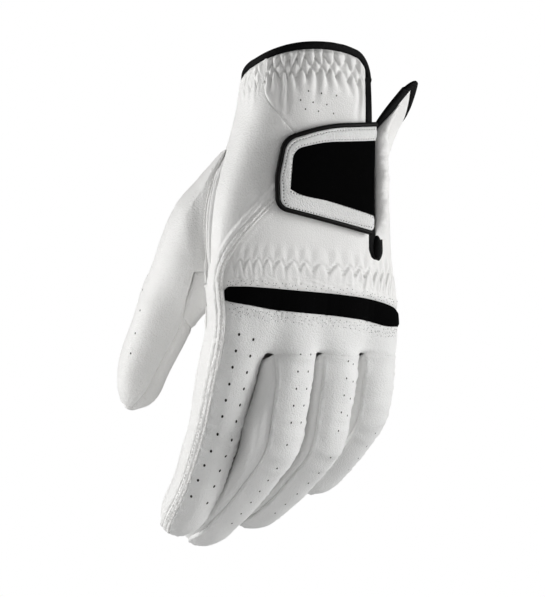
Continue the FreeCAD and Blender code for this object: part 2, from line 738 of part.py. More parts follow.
def thumbBlock(start, end, columns, shares):
    grid = []
    for t in shares:
        grid.append([])
        for j in range(columns + 1):
            turn = mix(start, end, j / columns)
            place = thumbPoint(turn, t)
            fall = thumbPoint(turn, min(t + 0.01, 1)) - thumbPoint(turn, max(t - 0.01, 0))
            normal = fall.cross(thumbPoint(turn + 0.02, t) - thumbPoint(turn - 0.02, t)).normalize()
            seamNormals.setdefault(pointKey(place), tubeNormal(*holePlace(turn)) if t == 0 else normal)
            grid[-1].append(place)
    return grid


gussetEnd = size("gussetShare")
thumbShares = [0, gussetEnd / 3, gussetEnd * 2 / 3, gussetEnd, 0.42, 0.54, 0.66, 0.76, 0.84, 0.9, 0.95,
               0.98, 1]
addPiece("thumb_back_panel", leatherSolid([thumbBlock(0, 1, 5, thumbShares),
                                           thumbBlock(3, 4, 4, thumbShares)], size("leatherWall")))
addPiece("thumb_gusset", leatherSolid([thumbBlock(1, 2, 4, thumbShares[:4])], size("leatherWall")))
thumbFront = thumbBlock(2, 3, 5, thumbShares)
thumbInner = thumbBlock(1, 2, 4, thumbShares[3:])
tipAlong = thumbFrame(1)[1]
thumbCap = coonsCap(thumbFront[-1], thumbBlock(1, 0, 5, [1])[0],
                    thumbBlock(2, 1, 4, [1])[0], thumbBlock(3, 4, 4, [1])[0],
                    tipAlong * (size("thumbTipHalfWidth") * 0.2))
addPiece("thumb_front_panel", leatherSolid([thumbFront, thumbInner, thumbCap], size("leatherWall")))

# bindings: folded strips over the edges
bindingProud = (size("bindingWall") - size("leatherWall")) / 2
addPiece("wrist_binding", leatherSolid([
    tubeBlock(fixed(size("radialSeamAngle")), slitLeft, hemDrop, hemSewn, 12, 2, False, bindingProud),
    tubeBlock(fixed(palmValleys[3]), fixed(size("radialSeamAngle")), hemDrop, hemSewn, 6, 2, False,
              bindingProud),
    tubeBlock(flapHemEnd, fixed(palmValleys[3]), hemDrop, hemSewn, 8, 2, True, bindingProud),
], size("bindingWall")))


slitEnd = fixed(size("slitDrop"))
slitSewn = fixed(sewnDrop)
addPiece("slit_binding", leatherSolid([
    tubeBlock(slitLeftSewn, slitLeft, hemSewn, slitEnd, 2, 8, False, bindingProud),
    tubeBlock(slitLeftSewn, slitLeft, slitEnd, slitSewn, 2, 1, False, bindingProud),
    tubeBlock(slitLeft, slitRight, slitEnd, slitSewn, 2, 1, False, bindingProud),
    tubeBlock(slitRight, slitRightSewn, slitEnd, slitSewn, 2, 1, False, bindingProud),
    tubeBlock(slitRight, slitRightSewn, hemSewn, slitEnd, 2, 8, True, bindingProud),
], size("bindingWall")))

# turned edge of the flap, a half-round roll lying along the slit
rollAngle = math.degrees(size("rollWidth") / meanRadius)
rollLift = bindingProud + size("layerGap")


def rollPoint(share, drop, lift):
    angle = slitRight(drop) - rollAngle * share
    return skinPoint(angle, drop, True) + tubeNormal(angle, drop, True) * lift


rollOuter = []
rollInner = []
for i in range(9):
    drop = mix(size("rollTop"), size("rollBottom"), i / 8)
    crown = size("rollHeight") * (0.55 + 0.45 * math.sin(math.pi * mix(0.12, 0.88, i / 8)))
    rollOuter.append([])
    rollInner.append([])
    for j in range(7):
        turn = math.pi * j / 6
        share = (1 - math.cos(turn)) / 2
        rollOuter[-1].append(rollPoint(share, drop, rollLift + 0.25 + crown * math.sin(turn)))
        rollInner[-1].append(rollPoint(share, drop, rollLift))
rollFaces = [gridFace(rollOuter), gridFace(rollInner)]
for (outerLine, a), (innerLine, b) in zip(edgeLines(rollOuter), edgeLines(rollInner)):
    rollFaces.append(edgeFace(outerLine, innerLine))
addPiece("flap_edge_roll", solidFrom(rollFaces))


# elastics sewn to the inside
def elastic(name, top, columns):
    left, right = fixed(size(name + "Start")), fixed(size(name + "End"))
    proud = -(size("leatherWall") + size("elasticGap"))
    return leatherSolid([tubeBlock(left, right, top, lambda angle: top(angle) + size(name + "Width"),
                                   columns, 2, False, proud)], size("elasticWall"))


def cuffElasticTop(angle):
    return hemSewn(angle) + size("cuffElasticTop")


def knuckleElasticTop(angle):
    return bandTop(angle) - size("knuckleElasticRise")


def palmElasticTop(angle):
    return hemSewn(angle) + size("palmElasticTop")


addPiece("cuff_elastic", elastic("cuffElastic", cuffElasticTop, 8))
addPiece("knuckle_elastic", elastic("knuckleElastic", knuckleElasticTop, 10))
addPiece("palm_elastic", elastic("palmElastic", palmElasticTop, 6))

# closing tab: layers that follow the back of the hand, cut to outlines seen from the back
def backSlab(low, high):
    outer = tubeBlock(fixed(142), fixed(44), fixed(27), fixed(86), 12, 6, False, high)
    return leatherSolid([outer], high - low, 0)


def roundedOutline(corners, radii):
    """Closed wire in the plane of the back, through corners given as x and drop."""
    points = [Vector(x, 0, -drop) for x, drop in corners]
    count = len(points)
    cuts = []
    for k in range(count):
        corner = points[k]
        toLast = (points[k - 1] - corner).normalize()
        toNext = (points[(k + 1) % count] - corner).normalize()
        half = toLast.getAngle(toNext) / 2
        reach = radii[k] / math.tan(half)
        middle = corner + (toLast + toNext).normalize() * (radii[k] / math.sin(half) - radii[k])
        cuts.append((corner + toLast * reach, middle, corner + toNext * reach))
    edges = []
    for k in range(count):
        start, middle, end = cuts[k]
        if radii[k] > 0:
            edges.append(Part.Arc(start, middle, end).toShape())
        following = cuts[(k + 1) % count][0]
        edges.append(Part.LineSegment(end, following).toShape())
    return Part.Wire(Part.__sortEdges__(edges))


def slabCut(slab, wire, rootX):
    prism = Part.Face(wire).extrude(Vector(0, -40, 0))
    limit = Part.makeBox(100, 60, 100, Vector(rootX - 100, -50, -110))
    return slab.common(prism.common(limit))


beyondRoot = size("tabRootX") + 8
tabOutline = roundedOutline([
    (beyondRoot, size("tabTopRootDrop")), (size("tabTopBendX"), size("tabTopBendDrop")),
    (size("tabTopCornerX"), size("tabTopDrop")),
    (size("tabTipX"), size("tabWaistDrop")), (size("tabTipX") + 0.2, size("tabBottomDrop")),
    (beyondRoot, size("tabBottomRootDrop")),
], [0, 40, 8, 12, 4, 0])
faceOutline = roundedOutline([
    (beyondRoot, size("faceTopRootDrop")), (size("faceTopBendX"), size("faceTopBendDrop")),
    (size("faceTopCornerX"), size("faceTopDrop")),
    (size("faceTipX"), size("faceTipDrop")), (size("faceBendX"), size("faceBendDrop")),
    (beyondRoot, size("faceBottomRootDrop")),
], [0, 30, 5, 0.8, 30, 0])
patchOutline = roundedOutline([
    (size("patchLeft"), size("patchTop")), (size("patchLeft"), size("patchBottom")),
    (size("patchRight"), size("patchBottom")), (size("patchRight"), size("patchTop")),
], [size("patchCorner")] * 4)
tabEdge = tabOutline.makeOffset2D(-(2 * size("pipingRadius") + size("pipingGap")))
faceEdge = faceOutline.makeOffset2D(-size("layerGap"))

baseLow = size("hookProud") + size("layerGap")
faceLow = size("tabBaseProud") + size("layerGap")
baseSlab = backSlab(baseLow, size("tabBaseProud"))
faceSlab = backSlab(faceLow, size("tabFaceProud"))
addPiece("tab_base", slabCut(baseSlab, tabEdge, size("tabRootX")))
tabFace = slabCut(faceSlab, tabEdge, size("tabRootX"))
addPiece("tab_frame", tabFace.cut(Part.Face(faceOutline).extrude(Vector(0, -40, 0))))
addPiece("tab_panel", slabCut(faceSlab, faceEdge, size("tabRootX")))
hookSlab = backSlab(size("loopProud") + size("hookGap"), size("hookProud"))
loopSlab = backSlab(size("layerGap"), size("loopProud"))
addPiece("hook_patch", slabCut(hookSlab, patchOutline, size("tabRootX")))
addPiece("loop_patch", slabCut(loopSlab, patchOutline, size("tabRootX")))


def backPoint(x, drop, proud):
    low, high = 40.0, 170.0
    for turn in range(40):
        angle = (low + high) / 2
        place = skinPoint(angle, drop) + tubeNormal(angle, drop) * proud
        if place.x > x:
            low = angle
        else:
            high = angle
    return place


pipingLine = tabOutline.makeOffset2D(-size("pipingRadius"))
pipingPlaces = [place for place in pipingLine.discretize(Number=48)[:-1] if place.x < size("tabRootX")]
start = max(range(len(pipingPlaces)), key=lambda k: (pipingPlaces[k] - pipingPlaces[k - 1]).Length)
pipingPlaces = pipingPlaces[start:] + pipingPlaces[:start]
for k in (0, -1):
    pipingPlaces[k] = Vector(size("tabRootX"), 0, pipingPlaces[k].z)
pipingHeight = (baseLow + size("tabFaceProud")) / 2 - 0.3
pipingSpine = [backPoint(place.x, -place.z, pipingHeight) for place in pipingPlaces]
pipingGrid = []
for k, place in enumerate(pipingSpine):
    along = (pipingSpine[min(k + 1, len(pipingSpine) - 1)] - pipingSpine[max(k - 1, 0)]).normalize()
    side = Vector(0, -1, 0).cross(along).normalize()
    rise = along.cross(side)
    ring = []
    for j in range(9):
        turn = 2 * math.pi * j / 8
        ring.append(place + side * (size("pipingRadius") * math.cos(turn))
                    + rise * (size("pipingRadius") * math.sin(turn)))
    ring[8] = ring[0]
    pipingGrid.append(ring)
pipingSkin = gridFace(pipingGrid)
pipingEnds = [Part.Face(Part.Wire(edge)) for edge in pipingSkin.Edges if edge.isClosed()]
addPiece("tab_piping", solidFrom([pipingSkin] + pipingEnds))


# ---- check and write ----
document.recompute()
for piece in pieces:
    if "Invalid" in piece.State or "Error" in piece.State:
        raise RuntimeError(piece.Label + " did not build")
    if piece.Shape.isNull() or not piece.Shape.isValid():
        raise RuntimeError(piece.Label + " is not a valid shape")
    piece.Shape.exportStep("parts/%s.step" % piece.Label)
    print(piece.Label, round(piece.Shape.Volume), len(piece.Shape.Solids), len(piece.Shape.Faces))
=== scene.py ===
import bpy
import bmesh
import json
import math
import numpy as np
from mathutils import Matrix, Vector, bvhtree, kdtree, noise

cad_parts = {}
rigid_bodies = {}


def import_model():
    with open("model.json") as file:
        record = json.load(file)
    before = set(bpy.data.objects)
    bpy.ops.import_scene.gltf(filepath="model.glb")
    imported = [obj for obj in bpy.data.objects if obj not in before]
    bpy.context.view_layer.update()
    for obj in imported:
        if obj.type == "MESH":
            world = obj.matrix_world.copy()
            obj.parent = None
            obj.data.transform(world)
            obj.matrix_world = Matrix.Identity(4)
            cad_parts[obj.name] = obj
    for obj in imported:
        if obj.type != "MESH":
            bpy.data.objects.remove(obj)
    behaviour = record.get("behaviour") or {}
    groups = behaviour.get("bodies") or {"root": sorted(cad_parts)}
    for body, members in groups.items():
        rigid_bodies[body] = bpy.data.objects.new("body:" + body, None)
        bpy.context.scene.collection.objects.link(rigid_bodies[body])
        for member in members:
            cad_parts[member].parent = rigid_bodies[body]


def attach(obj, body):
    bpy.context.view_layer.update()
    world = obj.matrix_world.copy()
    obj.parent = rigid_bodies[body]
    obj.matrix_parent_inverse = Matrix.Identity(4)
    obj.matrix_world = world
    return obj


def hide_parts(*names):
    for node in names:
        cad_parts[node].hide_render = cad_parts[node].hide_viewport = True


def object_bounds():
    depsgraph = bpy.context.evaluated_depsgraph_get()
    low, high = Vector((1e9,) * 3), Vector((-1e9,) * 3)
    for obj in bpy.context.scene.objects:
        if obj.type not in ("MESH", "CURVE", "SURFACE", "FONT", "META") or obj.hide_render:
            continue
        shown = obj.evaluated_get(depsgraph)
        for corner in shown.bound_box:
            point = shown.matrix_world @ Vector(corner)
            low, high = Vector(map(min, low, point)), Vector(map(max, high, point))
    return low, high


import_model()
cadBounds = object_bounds()
mm = 0.001
print("frame loaded")

# the glove's form, the same driving sizes as its frame, in millimetres
form = {
    "leatherWall": 0.9, "knitWall": 0.8, "bindingWidth": 2.6, "bindingWall": 1.9,
    "sectionPower": 0.86,
    # drop below the hem: sideways shift, half width, depth to the back, depth to the palm
    "stations": {0: (0.2, 28.2, 19.5, 19.5), 28: (-0.8, 32.4, 18.2, 20.5), 62: (-5.2, 39.8, 16.4, 24),
                 88: (-6.6, 42.6, 15.4, 22), 106: (-6.4, 43.8, 15.2, 17)},
    "hemArch": 23, "hemApexAngle": 112, "slitTopAngle": 57.5, "slitBottomAngle": 49.5,
    "slitDrop": 83, "slitWidth": 1.6, "flapCornerDrop": 9, "palmHemDrop": 17, "flapFlare": 17,
    "flapFlareEnd": 48, "flapHeldDrop": 35, "ulnarSeamAngle": 6, "radialSeamAngle": 214,
    "wrapTopAngle": 162, "wrapTopDrop": 16, "wrapWaistAngle": 113, "wrapWaistDrop": 44, "wrapTurnDrop": 50,
    "wrapKnuckleAngle": 164, "bandDrop": 97.8, "bandSlant": 9.4, "bandSlantAngle": 140, "bandWidth": 8.2,
    "bandNarrowWidth": 4.4,
    "thumbHoleBackAngle": 196, "thumbHolePalmAngle": 244, "thumbHoleTop": 43, "thumbHoleBottom": 97,
    "thumbKnee": (-47.8, 28.2, 88), "thumbTip": (-51.6, 53.2, 145), "thumbRootHalfWidth": 23,
    "thumbHalfWidth": 12.2, "thumbTipHalfWidth": 9.6, "thumbDepthShare": 0.95, "thumbRoll": 20,
    "thumbBlend": 0.5, "thumbCrotchShare": 0.38,
    "webDrop": 124, "palmWebExtra": 7, "edgeAngle": 28, "fingerPower": 0.88, "knuckleDrop": 106,
    "blendDrop": 90, "bendLength": 15, "tipLength": 13, "capShare": 0.36, "webSpread": 13,
}
# knuckle place, half sizes at the root and tip, bends and joints along the finger, length, lean
fingerForm = {
    "index": {"x": -37.0, "y": -1.5, "width": 11.5, "depth": 12.2, "tip": 9.2, "startBend": 18,
              "middleJoint": 50, "middleBend": 10, "endJoint": 75, "endBend": 12, "length": 100,
              "lean": -1},
    "middle": {"x": -14.9, "y": -5.5, "width": 11.4, "depth": 12.4, "tip": 9.6, "startBend": 9,
               "middleJoint": 54, "middleBend": 40, "endJoint": 83, "endBend": 8, "length": 117.5,
               "lean": -3},
    "ring": {"x": 8.2, "y": -4.0, "width": 11.0, "depth": 12.0, "tip": 9.0, "startBend": 7,
             "middleJoint": 53, "middleBend": 44, "endJoint": 79, "endBend": 8, "length": 109,
             "lean": -4.5},
    "little": {"x": 30.6, "y": 0.5, "width": 9.8, "depth": 10.6, "tip": 8.4, "startBend": 7,
               "middleJoint": 42, "middleBend": 40, "endJoint": 63, "endBend": 8, "length": 89.5,
               "lean": -2.8},
}
fingerNames = list(fingerForm)
backValleys = [form["wrapKnuckleAngle"], 114, 87, 58, form["ulnarSeamAngle"]]
palmValleys = [form["radialSeamAngle"], form["thumbHolePalmAngle"], 273, 302, 342]
edgeAngle = form["edgeAngle"]
edgeSine = math.sin(math.radians(edgeAngle))
edgeCosine = math.cos(math.radians(edgeAngle))
# the rounding of fingertips: how much of the tip is rounded off, and how squarely
tipRound = {"share": 0.94, "power": 2.3}


def smooth(value):
    value = np.clip(value, 0, 1)
    return value * value * (3 - 2 * value)


def mix(first, second, share):
    return first * (1 - share) + second * share


def signedPower(value, power):
    return np.sign(value) * np.abs(value) ** power


def unit(vectors):
    return vectors / np.maximum(np.linalg.norm(vectors, axis=-1, keepdims=True), 1e-12)


def hermite(t, start, startPull, end, endPull):
    # a smooth curve between two places with a pull at each
    return ((2 * t ** 3 - 3 * t ** 2 + 1) * start + (t ** 3 - 2 * t ** 2 + t) * startPull
            + (3 * t ** 2 - 2 * t ** 3) * end + (t ** 3 - t ** 2) * endPull)


stationDrops = np.array(list(form["stations"]), float)
stationValues = np.array(list(form["stations"].values()), float)


def tubePoint(angle, drop):
    # the cuff and hand: a tube whose section changes smoothly from station to station
    last = len(stationDrops) - 1
    i = np.clip(np.searchsorted(stationDrops, drop, "right") - 1, 0, last - 1)
    span = stationDrops[i + 1] - stationDrops[i]
    t = np.clip((drop - stationDrops[i]) / span, -0.4, 1.6)[..., None]
    start, end = stationValues[i], stationValues[i + 1]
    before, after = np.maximum(i - 1, 0), np.minimum(i + 2, last)
    slopeStart = (end - stationValues[before]) / (stationDrops[i + 1] - stationDrops[before])[..., None]
    slopeEnd = (stationValues[after] - start) / (stationDrops[after] - stationDrops[i])[..., None]
    slopeStart, slopeEnd = slopeStart * span[..., None], slopeEnd * span[..., None]
    curve = hermite(t, start, slopeStart, end, slopeEnd)
    section = np.where((t < 0) | (t > 1), mix(start, end, t), curve)
    across, outward = np.cos(np.radians(angle)), np.sin(np.radians(angle))
    depth = np.where(outward > 0, section[..., 2], section[..., 3])
    return np.stack([section[..., 0] + section[..., 1] * signedPower(across, form["sectionPower"]),
                     -depth * signedPower(outward, form["sectionPower"]), -drop], -1)


def roundedTip(reach):
    # how wide a finger still is, from 1 where its rounded tip begins down to the small cap at its end
    return np.maximum(form["capShare"],
                      np.sqrt(np.maximum(0, 1 - (reach * tipRound["share"]) ** tipRound["power"])))


class Finger:
    def __init__(self, name):
        self.form = fingerForm[name]
        self.start = form["blendDrop"] - form["knuckleDrop"]
        self.stations = np.arange(self.start, self.form["length"] + 1)
        bend = np.radians(self.bendAt(self.stations))
        lean = np.radians(self.form["lean"]) * smooth((self.stations + 8) / 30)
        steps = self.directions(bend, lean)[2]
        places = np.vstack([[0, 0, 0], np.cumsum(steps, 0)[:-1]])
        self.places = places + [self.form["x"], self.form["y"], -form["blendDrop"]]
        self.bends, self.leans = bend, lean

    def bendAt(self, s):
        half = form["bendLength"] / 2
        total = 0
        for joint, bend in ((0, self.form["startBend"]), (self.form["middleJoint"], self.form["middleBend"]),
                            (self.form["endJoint"], self.form["endBend"])):
            total = total + bend * smooth((s - joint + half) / (2 * half))
        return total

    def directions(self, bend, lean):
        side = np.stack([np.cos(lean), -np.sin(lean) * np.sin(bend), np.sin(lean) * np.cos(bend)], -1)
        back = np.stack([bend * 0, -np.cos(bend), -np.sin(bend)], -1)
        along = np.stack([np.sin(lean), np.cos(lean) * np.sin(bend), -np.cos(lean) * np.cos(bend)], -1)
        return side, back, along

    def point(self, angle, s):
        centre = np.stack([np.interp(s, self.stations, self.places[:, k]) for k in range(3)], -1)
        side, back, along = self.directions(np.interp(s, self.stations, self.bends),
                                            np.interp(s, self.stations, self.leans))
        share = smooth(s / self.form["length"])
        width = mix(self.form["width"], self.form["tip"], share)
        depth = mix(self.form["depth"], self.form["tip"] * 0.94, share)
        reach = np.clip((s - self.form["length"] + form["tipLength"]) / form["tipLength"], 0, 1)
        roundness = roundedTip(reach)
        across = signedPower(np.cos(np.radians(angle)), form["fingerPower"]) * width * roundness
        outward = signedPower(np.sin(np.radians(angle)), form["fingerPower"]) * depth * roundness
        return centre + side * across[..., None] + back * outward[..., None]


hand = [Finger(name) for name in fingerNames]


def webDropAt(angle):
    share = np.clip((edgeSine - np.sin(np.radians(angle))) / (2 * edgeSine), 0, 1)
    return form["webDrop"] + form["palmWebExtra"] * share


def edgeNear(angle):
    # the strip edge on the same side as this finger angle
    isPalm, isUlnar = np.sin(np.radians(angle)) < 0, np.cos(np.radians(angle)) > 0
    return np.where(isUlnar, np.where(isPalm, -edgeAngle, edgeAngle),
                    np.where(isPalm, 180 + edgeAngle, 180 - edgeAngle))


def meetPoint(i, angle, drop):
    # halfway between finger i and its neighbour i + 1, for an angle on finger i
    s = drop - form["knuckleDrop"]
    return (hand[i].point(angle, s) + hand[i + 1].point(180 - angle, s)) / 2


def towardsNeighbour(i, angle, drop):
    # how far the finger's side has to move to meet its neighbour at this drop
    isUlnar = np.cos(np.radians(angle)) > 0
    sine = np.sin(np.radians(angle))
    isSide = np.abs(sine) <= edgeSine + 1e-9
    edge = np.where(isSide, angle, edgeNear(angle))
    across = np.where(isSide, 0, (edgeCosine - np.abs(np.cos(np.radians(angle)))) / edgeCosine)
    own = hand[i].point(edge, drop - form["knuckleDrop"])
    move = np.zeros(own.shape)
    if i < 3:
        move = np.where(isUlnar[..., None], meetPoint(i, edge, drop) - own, move)
    if i > 0:
        move = np.where(isUlnar[..., None], move, meetPoint(i - 1, 180 - edge, drop) - own)
    return move * (np.maximum(0, 1 - across) ** 2)[..., None]


def fingerStrip(i, angle, s):
    webS = webDropAt(angle) - form["knuckleDrop"]
    reach = 1 - np.clip((s - webS) / form["webSpread"], 0, 1)
    # round at the webs themselves, and with no ledge over the back of the finger
    onBack = smooth((np.abs(np.sin(np.radians(angle))) - edgeSine) / (1 - edgeSine) * 2.2)
    fade = mix(1 - np.sqrt(1 - reach * reach), reach ** 2 * (3 - 2 * reach), onBack)
    return hand[i].point(angle, s) + towardsNeighbour(i, angle, webDropAt(angle)) * fade[..., None]


# ranges of tube angle, each with its finger and that finger's own angles
fingerRanges = [(backValleys[i + 1], backValleys[i], i, edgeAngle, 180 - edgeAngle) for i in range(4)]
fingerRanges += [(backValleys[0], palmValleys[0], 0, 180 - edgeAngle, 180 + edgeAngle)]
fingerRanges += [(palmValleys[i], palmValleys[i + 1], i, 180 + edgeAngle, 360 - edgeAngle) for i in range(4)]
fingerRanges += [(palmValleys[4], 360 + backValleys[4], 3, -edgeAngle, edgeAngle)]


def wholeAngle(angle):
    angle = angle % 360
    return np.where(angle < backValleys[4], angle + 360, angle)


def fingerAngleAt(angle):
    whole = wholeAngle(angle)
    result = np.zeros(whole.shape)
    for low, high, i, angleLow, angleHigh in fingerRanges:
        inside = (whole >= low) & (whole <= high)
        result = np.where(inside, mix(angleLow, angleHigh, (whole - low) / (high - low)), result)
    return result


def flare(angle, drop):
    # how far the loose flap beyond the slit turns out
    turned = (angle + 180) % 360 - 180
    end = mix(form["flapFlareEnd"], form["flapHeldDrop"], smooth((turned - 20) / 32))
    rise = np.where(drop > 15, np.clip((end - drop) / (end - 15), 0, 1) ** 1.2, 1)
    return form["flapFlare"] * rise * smooth((turned + 40) / 55)


def skinPoint(angle, drop, onFlap=False):
    # a point of the hand's outer skin, blended from the tube into the finger it leads to
    angle, drop = np.broadcast_arrays(np.asarray(angle, float), np.asarray(drop, float))
    place = tubePoint(angle, drop)
    whole = wholeAngle(angle)
    for low, high, i, angleLow, angleHigh in fingerRanges:
        inside = (whole >= low) & (whole <= high) & (drop > form["blendDrop"])
        if not inside.any():
            continue
        fingerAngle = mix(angleLow, angleHigh, (whole[inside] - low) / (high - low))
        here = drop[inside]
        blend = smooth((here - form["blendDrop"]) / (webDropAt(fingerAngle) - form["blendDrop"]))
        finger = (hand[i].point(fingerAngle, here - form["knuckleDrop"])
                  + towardsNeighbour(i, fingerAngle, here))
        place[inside] = mix(place[inside], finger, blend[..., None])
    if onFlap:
        outward = np.stack([np.cos(np.radians(angle)), -np.sin(np.radians(angle)), angle * 0], -1)
        place = place + outward * flare(angle, drop)[..., None]
    return place


def skinNormal(angle, drop, onFlap=False):
    turn = skinPoint(angle + 0.5, drop, onFlap) - skinPoint(angle - 0.5, drop, onFlap)
    fall = skinPoint(angle, drop + 0.5, onFlap) - skinPoint(angle, drop - 0.5, onFlap)
    return unit(np.cross(turn, fall))


# how often an unknown place is tried again until it has settled
settleRounds = {"corner": 40, "patch": 60, "overBack": 34}

# edges of the leather pieces, as tube angles or drops
meanRadius = 35.0
bindingAngle = math.degrees(form["bindingWidth"] / meanRadius)
halfSlitAngle = math.degrees(form["slitWidth"] / 2 / meanRadius)
sewnDrop = form["slitDrop"] + form["bindingWidth"]

# the hem's two corners beside the slit: the drop at which each is measured, its reach and its fall
hemCorner = {"leftAt": 12.0, "leftReach": 17, "leftFall": 9.5, "leftSag": 1.6,
             "rightAt": 16.0, "rightReach": 13, "rightFall": 6.5}
# how far the slit's left edge and its seam draw back, in degrees, above these drops
slitOpening = {"left": 2.6, "leftFrom": 64, "leftSewn": 2.2, "leftSewnFrom": 60}


def roundCorner(share):
    # 0 until the corner begins, then a quarter of an ellipse down to 1
    return 1 - np.sqrt(1 - np.clip(share, 0, 0.995) ** 2)


def hemDrop(angle):
    angle = angle % 360
    base = form["hemArch"] * (1 - np.cos(np.radians(angle - form["hemApexAngle"]))) / 2
    fromPalm = np.where(angle < 180, angle, angle - 360)
    flap = mix(form["palmHemDrop"] * smooth((fromPalm + 150) / 150), form["flapCornerDrop"],
               smooth((fromPalm - 10) / 40))
    isBack = (angle > form["slitTopAngle"] - 2) & (angle < 210)
    leftEdge, rightEdge = slitLeft(hemCorner["leftAt"]), slitRight(hemCorner["rightAt"])
    leftFall = roundCorner((leftEdge - angle) / hemCorner["leftReach"] + 1) * hemCorner["leftFall"]
    rightFall = roundCorner((fromPalm - rightEdge) / hemCorner["rightReach"] + 1) * hemCorner["rightFall"]
    return base + np.where(isBack, leftFall + hemCorner["leftSag"] * smooth((98 - angle) / 30),
                           flap + rightFall)


def besideHem(angle, width):
    # a line beside the hem, at this distance from it also where the hem runs steeply
    slope = (hemDrop(angle + 0.3) - hemDrop(angle - 0.3)) / (0.6 * math.radians(meanRadius))
    return hemDrop(angle) + width * np.minimum(np.sqrt(1 + slope ** 2), 2.6)


def hemSewn(angle):
    return besideHem(angle, form["bindingWidth"])


def slitAngle(drop):
    return mix(form["slitTopAngle"], form["slitBottomAngle"], np.clip(drop / form["slitDrop"], 0, 1))


def slitLeft(drop):
    opening = slitOpening["left"] * smooth((slitOpening["leftFrom"] - drop) / 16)
    return slitAngle(drop) + halfSlitAngle + opening


def slitRight(drop):
    return slitAngle(drop) - halfSlitAngle


def cornerBy(edge):
    # where an edge of the slit meets the hem, as angle and drop
    drop = 9.0
    for attempt in range(settleRounds["corner"]):
        drop = float(hemDrop(edge(drop)))
    return float(edge(drop)), drop


def slitLeftSewn(drop):
    spread = slitOpening["leftSewn"] * smooth((slitOpening["leftSewnFrom"] - drop) / 20)
    return slitLeft(drop) + bindingAngle + spread


def slitRightSewn(drop):
    return slitRight(drop) - bindingAngle


def wrapAngle(drop):
    upper = smooth((drop - form["wrapTopDrop"]) / (form["wrapWaistDrop"] - form["wrapTopDrop"]))
    lower = smooth((drop - form["wrapTurnDrop"]) / (form["thumbHoleBottom"] - form["wrapTurnDrop"]))
    return np.where(drop < form["wrapTurnDrop"], mix(form["wrapTopAngle"], form["wrapWaistAngle"], upper),
                    mix(form["wrapWaistAngle"], form["wrapKnuckleAngle"], lower))


# the knuckle band's slant, its dip at the thumb end and how it narrows, by tube angle
bandLine = {"slantReach": 130, "slantPower": 1.4, "dip": 1.3, "dipFrom": 154, "narrowFrom": 118,
            "narrowSoft": 7, "narrowReach": 46, "endNarrow": 0.6}


def bandSlope(angle):
    return form["bandSlant"] * np.clip((form["bandSlantAngle"] - angle) / bandLine["slantReach"],
                                       0, 1) ** bandLine["slantPower"]


def bandTop(angle):
    return (form["bandDrop"] + bandSlope(angle)
            + bandLine["dip"] * np.clip((angle - bandLine["dipFrom"]) / 8, 0, 1.3) ** 2)


def bandBottom(angle):
    soft = bandLine["narrowSoft"]
    narrowing = np.log1p(np.exp((angle - bandLine["narrowFrom"]) / soft)) * soft / bandLine["narrowReach"]
    slope = np.clip(narrowing, 0, 1.1)
    loss = form["bandWidth"] - form["bandNarrowWidth"]
    bottom = form["bandDrop"] + form["bandWidth"] - (loss - 1.0) * slope + bandSlope(angle)
    return bottom - bandLine["endNarrow"] * smooth((40 - angle) / 34) * loss


def webAt(angle):
    return webDropAt(fingerAngleAt(np.asarray(angle, float)))


def fixed(value):
    return lambda other: value + other * 0


knuckleSoftness = {"from": 88, "to": 111, "spread": 6.5}


def softPoint(angle, drop, onFlap=False):
    # the skin drawn smooth over the knuckles, with no crease between the fingers above their webs
    window = smooth((drop - knuckleSoftness["from"]) / 6)
    window = window * (1 - smooth((drop - knuckleSoftness["to"]) / 12.5))
    window = window * smooth((angle - backValleys[4]) / 10) * smooth((backValleys[0] - angle) / 10)
    spread = knuckleSoftness["spread"] * window
    weights = {-2: 1, -1: 4, 0: 6, 1: 4, 2: 1}
    return sum(weight * skinPoint(angle + step * spread, drop, onFlap)
               for step, weight in weights.items()) / 16


# a patch is a grid of points with its tube angle and drop, or its finger angle and place along
def skinPatch(left, right, top, bottom, columns, rows, onFlap=False, soft=False):
    u, v = np.meshgrid(np.linspace(0, 1, columns + 1), np.linspace(0, 1, rows + 1))
    drop = np.full(u.shape, 50.0)
    for attempt in range(settleRounds["patch"]):
        angle = mix(left(drop), right(drop), u)
        drop = mix(top(angle), bottom(angle), v)
    points = (softPoint if soft else skinPoint)(angle, drop, onFlap)
    return {"points": points, "angle": angle, "drop": drop, "s": drop * 0 - 50,
            "finger": np.full(u.shape, -1.0)}


sideSeamLean = 15


def sideSeam(i):
    # the seam beside the thumb side of a finger's back leather leans over the back along the finger
    def seam(s):
        tipStart = hand[i].form["length"] - 16
        return 180 - edgeAngle - sideSeamLean * smooth((s - 2) / 24) * (1 - smooth((s - tipStart) / 12))
    return seam


def fingerPatch(i, angleStart, angleEnd, columns, rows):
    u, v = np.meshgrid(np.linspace(0, 1, columns + 1), np.linspace(0, 1, rows + 1))
    ends = [end(v * 0) if callable(end) else end for end in (angleStart, angleEnd)]
    start = webDropAt(mix(ends[0], ends[1], u)) - form["knuckleDrop"]
    share = 0.55 * v + 0.45 * (0.5 - 0.5 * np.cos(math.pi * v))
    s = mix(start, hand[i].form["length"], share)
    ends = [end(s) if callable(end) else end for end in (angleStart, angleEnd)]
    angle = mix(ends[0], ends[1], u)
    return {"points": fingerStrip(i, angle, s), "angle": angle, "drop": s + form["knuckleDrop"], "s": s,
            "finger": np.full(u.shape, float(i))}


